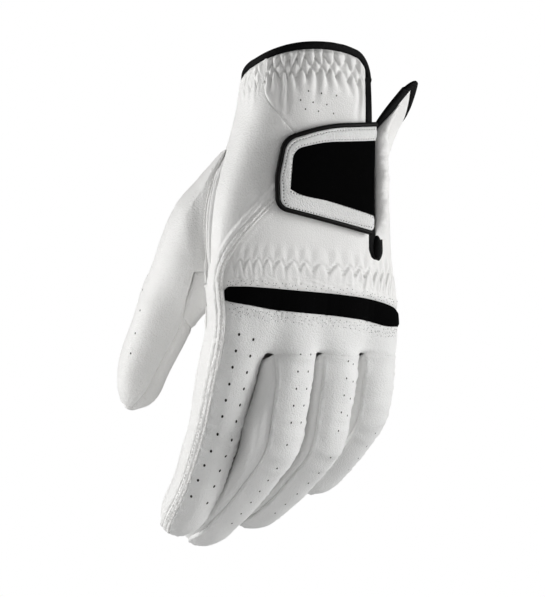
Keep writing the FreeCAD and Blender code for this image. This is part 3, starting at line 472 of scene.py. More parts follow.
def capPatch(bottomLine, topLine, leftLine, rightLine, bulge):
    columns, rows = len(bottomLine) - 1, len(leftLine) - 1
    u, v = np.meshgrid(np.linspace(0, 1, columns + 1), np.linspace(0, 1, rows + 1))
    u, v = u[..., None], v[..., None]
    points = (bottomLine[None] * (1 - v) + topLine[None] * v + leftLine[:, None] * (1 - u)
              + rightLine[:, None] * u - bottomLine[0] * (1 - u) * (1 - v) - bottomLine[-1] * u * (1 - v)
              - topLine[0] * (1 - u) * v - topLine[-1] * u * v)
    points = points + bulge * (16 * u * (1 - u) * v * (1 - v))
    flat = np.zeros(points.shape[:2])
    return {"points": points, "angle": flat, "drop": flat + 200, "s": flat + 200, "finger": flat}


# the thumb grows out of a four-sided hole; turn runs 0 to 4 round the hole and t from hole to tip
def skinAt(angle, drop):
    return skinPoint(np.array([float(angle)]), np.array([float(drop)]))[0]


holeBack, holePalm = form["thumbHoleBackAngle"], form["thumbHolePalmAngle"]
holeTop, holeBottom = form["thumbHoleTop"], form["thumbHoleBottom"]
holeCentre = sum(skinAt(angle, drop) for angle in (holeBack, holePalm) for drop in (holeTop, holeBottom)) / 4
thumbKnee = np.array(form["thumbKnee"]) * [1, 1, -1]
thumbTip = np.array(form["thumbTip"]) * [1, 1, -1]
roll = math.radians(form["thumbRoll"])


def thumbFrame(t):
    t = np.asarray(t)[..., None]
    centre = holeCentre * (1 - t) ** 2 + thumbKnee * (2 * t * (1 - t)) + thumbTip * t ** 2
    along = unit((thumbKnee - holeCentre) * (1 - t) + (thumbTip - thumbKnee) * t)
    back = np.array([-math.sin(roll), -math.cos(roll), 0])
    back = unit(back - along * (along @ back)[..., None])
    return centre, along, back, np.cross(back, along)


def holePlace(turn):
    turn = turn % 4
    side, share = np.floor(turn), turn - np.floor(turn)
    steady = share * 0
    which = [side == 0, side == 1, side == 2]
    angle = np.select(which, [holeBack + steady, mix(holeBack, holePalm, share), holePalm + steady],
                      mix(holePalm, holeBack, share))
    drop = np.select(which, [mix(holeTop, holeBottom, share), holeBottom + steady,
                             mix(holeBottom, holeTop, share)], holeTop + steady)
    return angle, drop


def thumbPoint(turn, t):
    # a point of the thumb, blended from the rim of its hole into its own rounded section
    rim = skinPoint(*holePlace(turn))
    angle = np.radians(90 * turn - 45)
    crotchSide = (1 + np.sin(angle)) / 2
    centre, along, back, side = thumbFrame(mix(mix(0.05, form["thumbCrotchShare"], crotchSide), 1, t))
    width = mix(form["thumbRootHalfWidth"], form["thumbHalfWidth"], smooth(t / 0.5))
    width = mix(width, form["thumbTipHalfWidth"], smooth((t - 0.45) / 0.55))
    reach = np.clip((t - 0.84) / 0.16, 0, 1)
    width = width * roundedTip(reach)
    toBack = width * form["thumbDepthShare"] * signedPower(np.cos(angle), form["fingerPower"])
    toSide = width * signedPower(np.sin(angle), form["fingerPower"])
    place = centre + back * toBack[..., None] + side * toSide[..., None]
    blend = 1 - (1 - np.clip(t / form["thumbBlend"], 0, 1)) ** 2
    return mix(rim, place, blend[..., None])


# the seam between the thumb's back and its gusset and front: its place between 0 and 1 round the thumb
crotchLine = {"along": [0, 0.12, 0.26, 0.37, 0.46, 0.54, 0.68, 0.8, 0.9, 1.0],
              "place": [1, 0.84, 0.52, 0.6, 0.75, 0.78, 0.72, 0.67, 0.62, 0.5]}


def crotchSeam(t):
    return np.interp(t, crotchLine["along"], crotchLine["place"])


def thumbPatch(turnStart, turnEnd, tStart, tEnd, columns, rows):
    u, v = np.meshgrid(np.linspace(0, 1, columns + 1), np.linspace(0, 1, rows + 1))
    t = mix(tStart, tEnd, v)
    ends = [end(t) if callable(end) else end for end in (turnStart, turnEnd)]
    turn = mix(ends[0], ends[1], u)
    return {"points": thumbPoint(turn, t), "angle": turn, "drop": t * 0 + 300, "s": t,
            "finger": np.full(u.shape, 5.0)}


# patches are joined to one mesh, drawn smooth, pushed out by a shape and given a wall
fine = 1.0


def steps(count):
    return max(2, int(count * fine))


def gridQuads(rows, columns):
    index = np.arange(rows * columns).reshape(rows, columns)
    return np.stack([index[:-1, :-1], index[1:, :-1], index[1:, 1:], index[:-1, 1:]], -1).reshape(-1, 4)


def tubeFaces(count, sides):
    # the faces of rings that follow each other, with both ends closed
    faces = []
    for i in range(count - 1):
        for k in range(sides):
            after = (k + 1) % sides
            faces.append([i * sides + k, i * sides + after, (i + 1) * sides + after, (i + 1) * sides + k])
    faces.append(list(range(sides))[::-1])
    faces.append([(count - 1) * sides + k for k in range(sides)])
    return faces


def joined(patches):
    # points nearer than 1/500 mm to each other become one
    points = np.concatenate([patch["points"].reshape(-1, 3) for patch in patches])
    keys = np.round(points * 500).astype(np.int64)
    first, inverse = np.unique(keys, axis=0, return_index=True, return_inverse=True)[1:]
    quads, start = [], 0
    for patch in patches:
        rows, columns = patch["points"].shape[:2]
        quads.append(gridQuads(rows, columns) + start)
        start += rows * columns
    quads = inverse.ravel()[np.concatenate(quads)]
    skin = {name: np.concatenate([patch[name].ravel() for patch in patches])[first]
            for name in ("angle", "drop", "s", "finger")}
    skin["points"], skin["quads"] = points[first], quads
    return skin


def vertexNormals(points, quads):
    corners = points[quads]
    faceNormals = np.cross(corners[:, 2] - corners[:, 0], corners[:, 3] - corners[:, 1])
    normals = np.zeros(points.shape)
    for corner in range(4):
        np.add.at(normals, quads[:, corner], faceNormals)
    return unit(normals)


def freeEdges(quads):
    edges = np.concatenate([quads[:, [k, (k + 1) % 4]] for k in range(4)])
    ordered = np.sort(edges, 1)
    first, counts = np.unique(ordered, axis=0, return_index=True, return_counts=True)[1:]
    edges = edges[first[counts == 1]]
    return edges[edges[:, 0] != edges[:, 1]]


def distanceTo(places, targets):
    tree = kdtree.KDTree(len(targets))
    for k, place in enumerate(targets):
        tree.insert(Vector(place), k)
    tree.balance()
    return np.array([tree.find(Vector(place))[2] for place in places])


def noiseAt(points, size, seed=0.0):
    return np.array([noise.noise(Vector(place)) for place in points / size + seed * 7.3])


def meshObject(name, points, polygons, material, attributes=None):
    data = bpy.data.meshes.new(name)
    data.from_pydata((points * mm).tolist(), [], polygons)
    data.validate()
    for key, values in (attributes or {}).items():
        layer = data.attributes.new(key, "FLOAT", "POINT")
        if len(values) == len(data.vertices):
            layer.data.foreach_set("value", np.asarray(values, np.float32))
    data.materials.append(material)
    data.shade_smooth()
    obj = bpy.data.objects.new(name, data)
    bpy.context.collection.objects.link(obj)
    return obj


def turnOutwards(obj):
    mesh = bmesh.new()
    mesh.from_mesh(obj.data)
    bmesh.ops.recalc_face_normals(mesh, faces=mesh.faces)
    mesh.to_mesh(obj.data)
    mesh.free()


def closedObject(name, points, polygons, material, body):
    obj = meshObject(name, points, polygons, material)
    turnOutwards(obj)
    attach(obj, body)
    return obj


def slabObject(name, top, below, material, body):
    # a closed slab between two grids of points
    quads = gridQuads(*top.shape[:2])
    count = top.shape[0] * top.shape[1]
    border = freeEdges(quads)
    rim = np.stack([border[:, 1], border[:, 0], border[:, 0] + count, border[:, 1] + count], -1)
    polygons = quads.tolist() + (quads[:, ::-1] + count).tolist() + rim.tolist()
    points = np.concatenate([top.reshape(-1, 3), below.reshape(-1, 3)])
    return closedObject(name, points, polygons, material, body)


def relaxed(points, quads, weights, rounds):
    # each point drawn towards the middle of its neighbours, by its own weight
    starts, ends = quads.ravel(), np.roll(quads, -1, 1).ravel()
    starts, ends = np.concatenate([starts, ends]), np.concatenate([ends, starts])
    counts = np.maximum(np.bincount(starts, minlength=len(points)), 1)
    for attempt in range(rounds):
        middles = np.stack([np.bincount(starts, points[ends, axis], len(points)) for axis in range(3)], -1)
        points = points + (middles / counts[:, None] - points) * weights[:, None]
    return points


relaxing = {"strength": 0.6, "heldEdge": 1.5, "rounds": steps(260)}


def leatherPiece(name, patches, wall, material, shape, relax=None):
    # an outer face pushed out by shape, an inner face one wall below and the edges between
    skin = joined(patches)
    points, quads = skin["points"], skin["quads"]
    border = freeEdges(quads)
    borderPoints = points[np.unique(border)]
    skin["edge"] = distanceTo(points, borderPoints)
    if relax:
        weights = relaxing["strength"] * relax(skin) * smooth(skin["edge"] / relaxing["heldEdge"])
        points = relaxed(points, quads, weights, relaxing["rounds"])
        skin["points"] = points
    skin["normals"] = vertexNormals(points, quads)
    outer = points + skin["normals"] * shape(skin)[:, None]
    inner = outer - skin["normals"] * wall
    count = len(points)
    rim = np.stack([border[:, 1], border[:, 0], border[:, 0] + count, border[:, 1] + count], -1)
    polygons = quads.tolist() + (quads[:, ::-1] + count).tolist() + rim.tolist()
    polygons = [list(dict.fromkeys(polygon)) for polygon in polygons]
    polygons = [polygon for polygon in polygons if len(polygon) > 2]
    obj = meshObject(name, np.concatenate([outer, inner]), polygons, material,
                     {"turn": np.tile(skin["angle"], 2)})
    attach(obj, "glove")
    return obj


class Nodes:
    # a socket that can be added, subtracted and multiplied like a number
    def __init__(self, tree, socket=None):
        self.tree, self.socket = tree, socket

    def node(self, kind, settings=None, **inputs):
        node = self.tree.nodes.new(kind)
        for key, value in (settings or {}).items():
            setattr(node, key, value)
        for key, value in inputs.items():
            target = node.inputs[int(key[1:])] if key[0] == "i" and key[1:].isdigit() else node.inputs[key]
            if isinstance(value, Nodes):
                self.tree.links.new(value.socket, target)
            else:
                target.default_value = value
        return node

    def maths(self, operation, first, second=0.0):
        return self.output("ShaderNodeMath", 0, {"operation": operation}, i0=first, i1=second)

    def __add__(self, other):
        return self.maths("ADD", self, other)

    def __sub__(self, other):
        return self.maths("SUBTRACT", self, other)

    def __mul__(self, other):
        return self.maths("MULTIPLY", self, other)

    def __rsub__(self, other):
        return self.maths("SUBTRACT", other, self)

    __radd__ = __add__
    __rmul__ = __mul__

    def output(self, kind, name, settings=None, **inputs):
        return Nodes(self.tree, self.node(kind, settings, **inputs).outputs[name])

    def between(self, low, high):
        inputs = {"Value": self, "From Min": low, "From Max": high}
        return self.output("ShaderNodeMapRange", "Result", {"interpolation_type": "SMOOTHSTEP"}, **inputs)


def newMaterial(name, colour, roughness, sheen=0.0, specular=0.5):
    material = bpy.data.materials.new(name)
    material.use_nodes = True
    tree = material.node_tree
    shader = tree.nodes["Principled BSDF"]
    settings = {"Base Color": (*colour, 1), "Roughness": roughness, "Sheen Weight": sheen,
                "Specular IOR Level": specular, "Coat Weight": 0.0}
    for key, value in settings.items():
        shader.inputs[key].default_value = value
    return material, shader, Nodes(tree).output("ShaderNodeTexCoord", "Object")


def noiseValue(place, scale, detail=2.0):
    return place.output("ShaderNodeTexNoise", "Fac", Vector=place, Scale=scale, Detail=detail)


def cells(place, scale):
    return place.output("ShaderNodeTexVoronoi", "Distance", {"feature": "F1"}, Vector=place, Scale=scale)


def colourBetween(share, first, second):
    node = share.node("ShaderNodeMix", {"data_type": "RGBA"}, Factor=share)
    colours = [socket for socket in node.inputs if socket.type == "RGBA"]
    colours[0].default_value = (*first, 1)
    colours[1].default_value = (*second, 1)
    return Nodes(share.tree, [socket for socket in node.outputs if socket.type == "RGBA"][0])


def link(source, target):
    source.tree.links.new(source.socket, target)


def bump(shader, height, distance):
    link(height.output("ShaderNodeBump", "Normal", Height=height, Distance=distance, Strength=1.0),
         shader.inputs["Normal"])


def leatherMaterial(name, light, dark, grain, grainScale, roughness):
    # fine-grained leather: small cells with pores, and a slow change of tone
    material, shader, place = newMaterial(name, light, roughness, 0.12, 0.42)
    tone = noiseValue(place, 45.0, 3.0).between(0.3, 0.7) * 0.5 + noiseValue(place, 900.0, 2.0) * 0.5
    link(colourBetween(tone, dark, light), shader.inputs["Base Color"])
    link(noiseValue(place, 120.0) * 0.16 + (roughness - 0.08), shader.inputs["Roughness"])
    height = (cells(place, grainScale) * -0.7 + noiseValue(place, grainScale * 1.7, 3.0) * 0.5
              + noiseValue(place, grainScale * 0.16, 2.0) * 0.6)
    bump(shader, height, grain)
    return material


def smoothMaterial(name, colour, roughness, grainScale, grain, specular=0.06):
    # faintly grained facing, binding or plastic
    material, shader, place = newMaterial(name, colour, roughness, 0.0, specular)
    link(noiseValue(place, 300.0) * 0.2 + (roughness - 0.1), shader.inputs["Roughness"])
    bump(shader, cells(place, grainScale) + noiseValue(place, grainScale * 2.0), grain)
    return material


def clothMaterial(name, colour, pitch, depth, sheen=0.3, specular=0.2):
    # knitted or woven cloth with a small regular texture
    material, shader, place = newMaterial(name, colour, 0.85, sheen, specular)
    tone = noiseValue(place, 400.0, 3.0).between(0.3, 0.7)
    link(colourBetween(tone, [0.88 * value for value in colour], colour), shader.inputs["Base Color"])
    bump(shader, cells(place, 1000.0 / pitch), depth * mm)
    return material


white = leatherMaterial("back_leather", light=(0.83, 0.825, 0.81), dark=(0.785, 0.78, 0.765),
                        grain=0.00011, grainScale=1700.0, roughness=0.52)
wrapWhite = leatherMaterial("wrap_leather", light=(0.87, 0.865, 0.85), dark=(0.83, 0.825, 0.81),
                            grain=0.00019, grainScale=1300.0, roughness=0.5)
fingerWhite = leatherMaterial("finger_leather", light=(0.83, 0.83, 0.82), dark=(0.76, 0.76, 0.75),
                              grain=0.00025, grainScale=1700.0, roughness=0.55)
thumbWhite = leatherMaterial("thumb_leather", light=(0.86, 0.855, 0.84), dark=(0.82, 0.815, 0.80),
                             grain=0.00022, grainScale=1500.0, roughness=0.52)
frameWhite = leatherMaterial("frame_leather", light=(0.84, 0.84, 0.83), dark=(0.72, 0.72, 0.71),
                             grain=0.0004, grainScale=1600.0, roughness=0.5)
black = smoothMaterial("black_binding", (0.003, 0.003, 0.0032), 0.6, 1400.0, 0.00012)
panelBlack = smoothMaterial("black_facing", (0.0012, 0.0012, 0.0013), 0.75, 2200.0, 0.00005, 0.01)
pipingBlack = smoothMaterial("black_piping", (0.003, 0.0026, 0.0024), 0.5, 1800.0, 0.00005, 0.09)
hookPlastic = smoothMaterial("hook_plastic", (0.02, 0.02, 0.02), 0.45, 1200.0, 0.0003)
bandBlack = clothMaterial("band_elastic", (0.0015, 0.0015, 0.0016), 0.8, 0.08, 0.0, 0.02)
elasticCloth = clothMaterial("elastic_cloth", (0.6, 0.6, 0.58), 0.9, 0.2)
loopCloth = clothMaterial("loop_cloth", (0.72, 0.72, 0.7), 0.5, 0.3)
knit = clothMaterial("fourchette_knit_painted_shade", (0.52, 0.52, 0.51), 0.6, 0.12)
# painted shade: the knit is coloured dark where it turns in deep between the fingers and pale towards the
# back of the hand
knitShader = knit.node_tree.nodes["Principled BSDF"]
knitShadeTurn = Nodes(knit.node_tree).output("ShaderNodeAttribute", "Fac", {"attribute_name": "turn"})
link(colourBetween(knitShadeTurn.between(196, 160), (0.36, 0.36, 0.355), (0.8, 0.8, 0.79)),
     knitShader.inputs["Base Color"])
seamThread = newMaterial("seam_thread", (0.74, 0.73, 0.71), 0.7, 0.2, 0.3)[0]
# painted shade: the near-black of the hole discs stands for the shade inside each hole
holeShade = newMaterial("punched_hole_painted_shade", (0.03, 0.027, 0.024), 0.9, 0.0, 0.1)[0]
print("materials made")


# how the leather lies: smocking, flutes, creases and seams, all as lifts in millimetres
arc = meanRadius * math.pi / 180
smocking = {"pitch": 5.0, "row": 6.8, "reach": 3.6, "height": 1.75, "fade": 20, "wander": 1.7, "slant": 0.16,
            "unevenRow": 1.6, "creaseDepth": 0.8, "rim": 0.55}
flutes = {"pitch": 4.8, "line": 10.0, "zigzag": 1.9, "zigzagAtSide": 3.6, "height": 1.0, "creaseDepth": 0.55,
          "puckers": 0.3, "puckerSize": 1.1}
# the lapped and turned seam along the wrap's edge, with its two sunk lines of stitches
wrapSeam = {"overlap": 1.3, "width": 4.4, "height": 0.85, "cuffHeight": 0.42, "grooves": (1.1, 3.1),
            "grooveDepth": 0.3, "start": 38}
# the wrap's other edge, on the thumb
thumbEdge = {"height": 0.85, "width": 3, "grooves": (1.2, 2.7), "grooveDepth": 0.42, "sunkStart": -0.3,
             "stitches": (1.2, 2.6)}
fingerSeam = {"ridge": 0.6, "place": 0.9, "width": 0.75, "start": 16, "jointCrease": 0.25, "jointReach": 9}
overlapAngle = wrapSeam["overlap"] / arc


def bell(distance, width):
    return np.exp(-(distance / width) ** 2)


def seamDip(edge, depth=0.4):
    return -depth * bell(edge, 0.8) + 0.14 * bell(edge - 2.2, 1.1)


def unrolled(skin):
    return np.stack([skin["angle"] * arc, skin["drop"], skin["angle"] * 0], -1)


def ownShare(phase, turn, stretch):
    # a fixed share between 0 and 1 for each gather, so that no two are alike
    return (np.sin(np.floor(phase) * turn) * stretch) % 1


def cuffSmocking(skin, height):
    # a row of stitched diamonds under the hem, with flutes running into it from above and below
    angle, flat = skin["angle"], unrolled(skin)
    below = skin["drop"] - hemSewn(angle) - smocking["row"] + noiseAt(flat, 10.0, 2) * smocking["unevenRow"]
    wander = noiseAt(flat, 7.0, 1) * smocking["wander"]
    phase = (angle * arc + wander + smocking["slant"] * below) / smocking["pitch"]
    across = phase % 1
    tent = 1 - np.abs(2 * across - 1)
    outside = np.abs(below) - smocking["reach"] * tent
    inside = np.clip(-outside / (smocking["reach"] * np.maximum(tent, 0.05)), 0, 1)
    diamond = np.sqrt(1 - (1 - inside) ** 2) * np.sqrt(tent) * 0.8
    # every crease below the row has its own length
    own = ownShare(phase, 12.99, 437.5)
    crease = bell(across - 0.5, mix(mix(0.16, 0.24, own), 0.36, smooth(below / 14)))
    length = np.where(below < 0, 60, 10 + 16 * own)
    swell = np.where(below < 0, 1, 1 - smooth(below / smocking["fade"]))
    fluted = ((1 - np.exp(-np.maximum(outside, 0) / smocking["rim"])) * swell
              - smocking["creaseDepth"] * crease * (1 - smooth(below / length)))
    return height * np.where(outside < 0, diamond, np.maximum(fluted, -0.12))


def bandPuckers(places, nearness):
    return flutes["puckers"] * noiseAt(places, flutes["puckerSize"], 7) * smooth(nearness / 5)


def knuckleFlutes(skin):
    # one scalloped stitch line over the knuckles and the puffs that it draws up towards the band
    angle, flat = skin["angle"], unrolled(skin)
    above = bandTop(angle) - skin["drop"]
    phase = (angle * arc + noiseAt(flat, 9.0, 2)) / flutes["pitch"]
    across = phase % 1
    arch = 1 - np.abs(2 * across - 1) ** 1.5
    own = ownShare(phase, 7.31, 321.7)
    zigzag = mix(flutes["zigzag"], flutes["zigzagAtSide"], smooth((48 - angle) / 20))
    under = flutes["line"] - 1.2 * smooth((angle - 120) / 30) + zigzag * (2 * arch - 1) - above
    crease = bell(np.minimum(across, 1 - across), 0.12)
    puff = (1 - np.exp(-np.maximum(under, 0) / 0.5)) * mix(1, 0.25, smooth(under / mix(6, 12, own)))
    puff = puff - flutes["creaseDepth"] * crease * (1 - smooth(under / 9)) * (under > 0)
    over = (1 - np.exp(-np.maximum(-under, 0) / 0.45)) * 0.55 * (1 - smooth(-under / 8))
    strength = (mix(1.35, 0.75, smooth((angle - 40) / 90))
                * mix(0.8, 1.15, smooth(noiseAt(flat, 12.0, 6) + 0.5)))
    window = smooth((angle - 8) / 8) * smooth((160 - angle) / 12) * smooth((above + 0.5) / 2)
    return window * (flutes["height"] * strength * np.where(under > 0, puff, over)
                     + bandPuckers(flat, 7.5 - above))


def backShape(skin):
    angle, drop = skin["angle"], skin["drop"]
    onFlap = angle < slitAngle(drop)
    window = mix(0.35, 1, smooth((angle - slitLeft(drop) - 7) / 9)) * smooth((167 - angle) / 8)
    lift = cuffSmocking(skin, smocking["height"]) * np.where(onFlap, 0, window)
    lift = lift * smooth(skin["edge"] / 1.4)
    slow = noiseAt(skin["points"], 16.0, 3) * 0.5 * smooth(skin["edge"] / 4)
    return lift + knuckleFlutes(skin) + slow + seamDip(skin["edge"], 0.3)


def fingerShape(skin):
    lift = noiseAt(skin["points"] * [1.6, 1.6, 0.8], 13.0, 4) * 0.42
    s = skin["s"]
    for i, name in enumerate(fingerNames):
        fromJoint = s - fingerForm[name]["middleJoint"]
        here = (skin["finger"] == i) * bell(fromJoint, fingerSeam["jointReach"])
        wave = np.sin(fromJoint * 1.15 + noiseAt(skin["points"], 9.0, i + 8) * 2)
        lift = lift + here * fingerSeam["jointCrease"] * wave
    # the seams to the side strips stand up as soft rough ridges
    onFinger = smooth((s - fingerSeam["start"]) / 10)
    rough = 1 + 0.8 * noiseAt(skin["points"], 1.6, 5)
    ridge = (fingerSeam["ridge"] * onFinger * rough
             * bell(skin["edge"] - fingerSeam["place"], fingerSeam["width"]))
    puckers = bandPuckers(skin["points"], bandBottom(skin["angle"]) + 7 - skin["drop"])
    return lift * smooth(skin["edge"] / 3) + seamDip(skin["edge"], 0.42) + ridge + puckers * (s < -40)


def plainShape(wave, dip, bulge=0.0):
    # bulge fills the space between the first two fingers
    def shape(skin):
        slow = noiseAt(skin["points"], 15.0, 11) * wave * smooth(skin["edge"] / 3)
        swelling = mix(0.4, 1.0, skin["finger"] == 1) * bell(skin["s"] - 50, 14)
        return slow + seamDip(skin["edge"], dip) + bulge * swelling * smooth(skin["edge"] / 4)
    return shape


def wrapEdgeTurn(drop):
    # the wrap's outer edge, lapped over the back and then over the first finger
    return np.where(drop < form["thumbHoleBottom"], wrapAngle(drop), backValleys[0]) - overlapAngle


wrapDrops = np.linspace(4, form["webDrop"], 110)
indexS = np.linspace(form["webDrop"] - form["knuckleDrop"], fingerForm["index"]["length"], 90)
indexTurns = fingerAngleAt(np.full(90, backValleys[0] - overlapAngle))
wrapEdge = np.concatenate([skinPoint(wrapEdgeTurn(wrapDrops), wrapDrops), fingerStrip(0, indexTurns, indexS)])


def wrapShape(skin):
    raised, edge = distanceTo(skin["points"], wrapEdge), skin["edge"]
    # flat and only lapped over at the cuff, a thick turned seam from the waist down
    seam = smooth((skin["drop"] - wrapSeam["start"]) / 12)
    rough = 1 + 0.35 * noiseAt(skin["points"], 1.5, 12)
    lift = (wrapSeam["height"] * seam * (1 - smooth((raised - wrapSeam["width"]) / 1.6)) * rough
            + wrapSeam["cuffHeight"] * (1 - seam) * (1 - smooth(raised / 14)))
    lift = lift - mix(0.25, 0.4, seam) * bell(raised, 0.35)
    grooves = sum(bell(raised - line, 0.35) for line in wrapSeam["grooves"])
    lift = lift - wrapSeam["grooveDepth"] * seam * grooves
    other = np.where(raised < edge + 1.2, 0, seamDip(edge, 0.35))
    # the edge on the thumb, with two sunk rows of stitches
    rows = sum(bell(edge - line, 0.3) for line in thumbEdge["grooves"])
    onThumbEdge = (thumbEdge["height"] * (1 - smooth((edge - thumbEdge["width"]) / 2)) - 0.4 * bell(edge, 0.4)
                   - thumbEdge["grooveDepth"] * rows)
    onThumbEdge = mix(thumbEdge["sunkStart"], onThumbEdge, smooth((skin["drop"] - holeTop) / 7))
    other = np.where(skin["finger"] == -2, onThumbEdge, other)
    window = smooth((skin["angle"] - 163) / 5) * smooth((30 - skin["drop"]) / 10)
    gathers = cuffSmocking(skin, 0.6) * window * smooth(edge / 1.4)
    wrinkles = (0.3 * noiseAt(skin["points"] * [1, 1, 0.8], 1.7, 14) * (1 - smooth((raised - 2) / 5))
                * smooth((skin["drop"] - 26) / 8) * smooth((44 - skin["drop"]) / 5))
    slow = noiseAt(skin["points"], 17.0, 9) * 0.35 * smooth(edge / 3)
    return lift + other + slow + gathers + wrinkles


upper, lower, backColumns = steps(150), steps(46), steps(110)
ulnarSeam, sewn = fixed(form["ulnarSeamAngle"]), fixed(sewnDrop)
backPatches = [
    skinPatch(wrapAngle, slitLeftSewn, hemSewn, sewn, backColumns, upper),
    skinPatch(wrapAngle, slitLeftSewn, sewn, bandTop, backColumns, lower, soft=True),
    skinPatch(slitLeftSewn, slitRightSewn, sewn, bandTop, steps(14), lower, soft=True),
    skinPatch(slitRightSewn, ulnarSeam, sewn, bandTop, steps(60), lower, onFlap=True, soft=True),
    skinPatch(slitRightSewn, ulnarSeam, hemSewn, sewn, steps(60), upper, onFlap=True),
]
back = leatherPiece("back_skin", backPatches, form["leatherWall"], white, backShape)
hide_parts("back_panel")

stripRows = steps(190)
fingerPatches = [skinPatch(fixed(backValleys[i]), fixed(backValleys[i + 1]), bandBottom, webAt,
                           steps(38), steps(50), soft=True) for i in range(4)]
fingerPatches += [fingerPatch(i, sideSeam(i) if i else 180 - edgeAngle, edgeAngle, steps(38), stripRows)
                  for i in range(4)]


def knuckleRelax(skin):
    # no hard crease above the webs and no step at their height
    return smooth((skin["drop"] - 98) / 8) * (1 - smooth((skin["drop"] - 126) / 9))


fingers = leatherPiece("finger_back_skin", fingerPatches, form["leatherWall"], fingerWhite, fingerShape,
                       knuckleRelax)
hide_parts("finger_back_panel")


def overWrap(drop):
    return wrapAngle(drop) - overlapAngle


overValley = fixed(backValleys[0] - overlapAngle)
overFinger, holeFingerAngle = fingerAngleAt(np.array([backValleys[0] - overlapAngle, float(holeBack)]))
radialSeam, indexValley = fixed(form["radialSeamAngle"]), fixed(backValleys[0])
atHole, aboveHole, belowHole = fixed(holeBack), fixed(holeTop), fixed(holeBottom)
wideColumns, narrowColumns, lapColumns = steps(90), steps(16), 4
cuffRows, besideRows, webRows = steps(70), steps(100), steps(50)
besideHole = skinPatch(atHole, wrapAngle, aboveHole, belowHole, wideColumns, besideRows)
wrapPatches = [
    skinPatch(atHole, wrapAngle, hemSewn, aboveHole, wideColumns, cuffRows),
    skinPatch(wrapAngle, overWrap, hemSewn, aboveHole, lapColumns, cuffRows),
    skinPatch(radialSeam, atHole, hemSewn, aboveHole, narrowColumns, cuffRows),
    besideHole,
    skinPatch(wrapAngle, overWrap, aboveHole, belowHole, lapColumns, besideRows),
    skinPatch(atHole, indexValley, belowHole, webAt, wideColumns, webRows),
    skinPatch(indexValley, overValley, belowHole, webAt, lapColumns, webRows),
    skinPatch(radialSeam, atHole, belowHole, webAt, narrowColumns, webRows),
    fingerPatch(0, holeFingerAngle, 180 - edgeAngle, wideColumns, stripRows),
    fingerPatch(0, 180 - edgeAngle, overFinger, lapColumns, stripRows),
    fingerPatch(0, 180 + edgeAngle, holeFingerAngle, narrowColumns, stripRows),
]

# it carries on over the thumb hole's rim onto the thumb, as far as the thumb seam
join = {"topReach": 0.06, "bottomReach": 0.17, "leastReach": 0.012, "handPull": 0.2, "thumbPull": 0.5,
        "fadeIn": 0.4, "fadeFrom": 4.88, "fadeOut": 0.11, "columns": steps(34)}
topAngles = np.linspace(form["radialSeamAngle"], holeBack, narrowColumns + 1)
sideShares = np.linspace(0, 1, besideRows + 1)
joinTurns = np.concatenate([3 + (holePalm - topAngles) / (holePalm - holeBack), 4 + sideShares[1:]])
joinAngles = np.concatenate([topAngles, sideShares[1:] * 0 + holeBack])
joinDrops = np.concatenate([topAngles * 0 + holeTop, mix(holeTop, holeBottom, sideShares[1:])])
onHand = skinPoint(joinAngles, joinDrops)
downPull = onHand - skinPoint(joinAngles, joinDrops - 1)
sidePull = onHand - skinPoint(joinAngles - 2, joinDrops)
handPull = unit(mix(unit(downPull), unit(sidePull), smooth((joinTurns - 3.9) / 0.25)[:, None]))
joinReach = mix(join["topReach"], join["bottomReach"], np.clip(joinTurns - 4, 0, 1))
joinEnds = (smooth((joinTurns - joinTurns[0]) / join["fadeIn"])
            * (1 - smooth((joinTurns - join["fadeFrom"]) / join["fadeOut"])))
joinReach = joinReach * joinEnds + join["leastReach"]
onThumb = thumbPoint(joinTurns, joinReach)
thumbPull = unit(thumbPoint(joinTurns, joinReach + 0.02) - onThumb)
span = np.linalg.norm(onThumb - onHand, axis=-1, keepdims=True)
over = np.linspace(1, 0, join["columns"] + 1)[None, :, None]
joinPoints = hermite(over, onHand[:, None], (handPull * span * join["handPull"])[:, None],
                     onThumb[:, None], (thumbPull * span * join["thumbPull"])[:, None])

# between the hole's ends the sheet leaves the hand early and runs to the thumb in one easy curve
fold = {"start": 168.0, "handPull": 0.75, "thumbPull": 0.5}
sideRows = slice(len(topAngles) - 1, None)
sideDrops = joinDrops[sideRows]
foldPoints = skinPoint(fold["start"], sideDrops)
foldPull = unit(foldPoints - skinPoint(fold["start"] - 1.5, sideDrops))
foldSpan = np.linalg.norm(onThumb[sideRows] - foldPoints, axis=-1, keepdims=True)
handPart = np.linalg.norm(onHand[sideRows] - foldPoints, axis=-1)
handShare = handPart / (handPart + span[sideRows, 0])
foldWindow = smooth((sideDrops - holeTop) / 14) * (1 - smooth((sideDrops - holeBottom + 10) / 10))


def foldCurve(share):
    return hermite(share[..., None], foldPoints[:, None], (foldPull * foldSpan * fold["handPull"])[:, None],
                   onThumb[sideRows][:, None],
                   (thumbPull[sideRows] * foldSpan * fold["thumbPull"])[:, None])


sideShare = (besideHole["angle"] - fold["start"]) / (holeBack - fold["start"])
onFold = (foldWindow[:, None] * (sideShare > 0))[..., None]
besideHole["points"] = mix(besideHole["points"],
                           foldCurve(np.clip(sideShare, 0, 1) * handShare[:, None]), onFold)
joinPoints[sideRows] = mix(joinPoints[sideRows],
                           foldCurve(handShare[:, None] + (1 - handShare[:, None]) * over[..., 0]),
                           foldWindow[:, None, None])
joinZero = joinPoints[..., 0] * 0
wrapPatches.append({"points": joinPoints, "angle": joinZero + joinAngles[:, None],
                    "drop": joinZero + joinDrops[:, None], "s": joinZero - 50, "finger": joinZero - 2})


def wrapRelax(skin):
    # no crease over the rim that the sheet is carried across
    return 1 - smooth((distanceTo(skin["points"], onHand) - 4) / 7)


wrap = leatherPiece("wrap_skin", wrapPatches, form["leatherWall"], wrapWhite, wrapShape, wrapRelax)
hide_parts("index_side_panel")

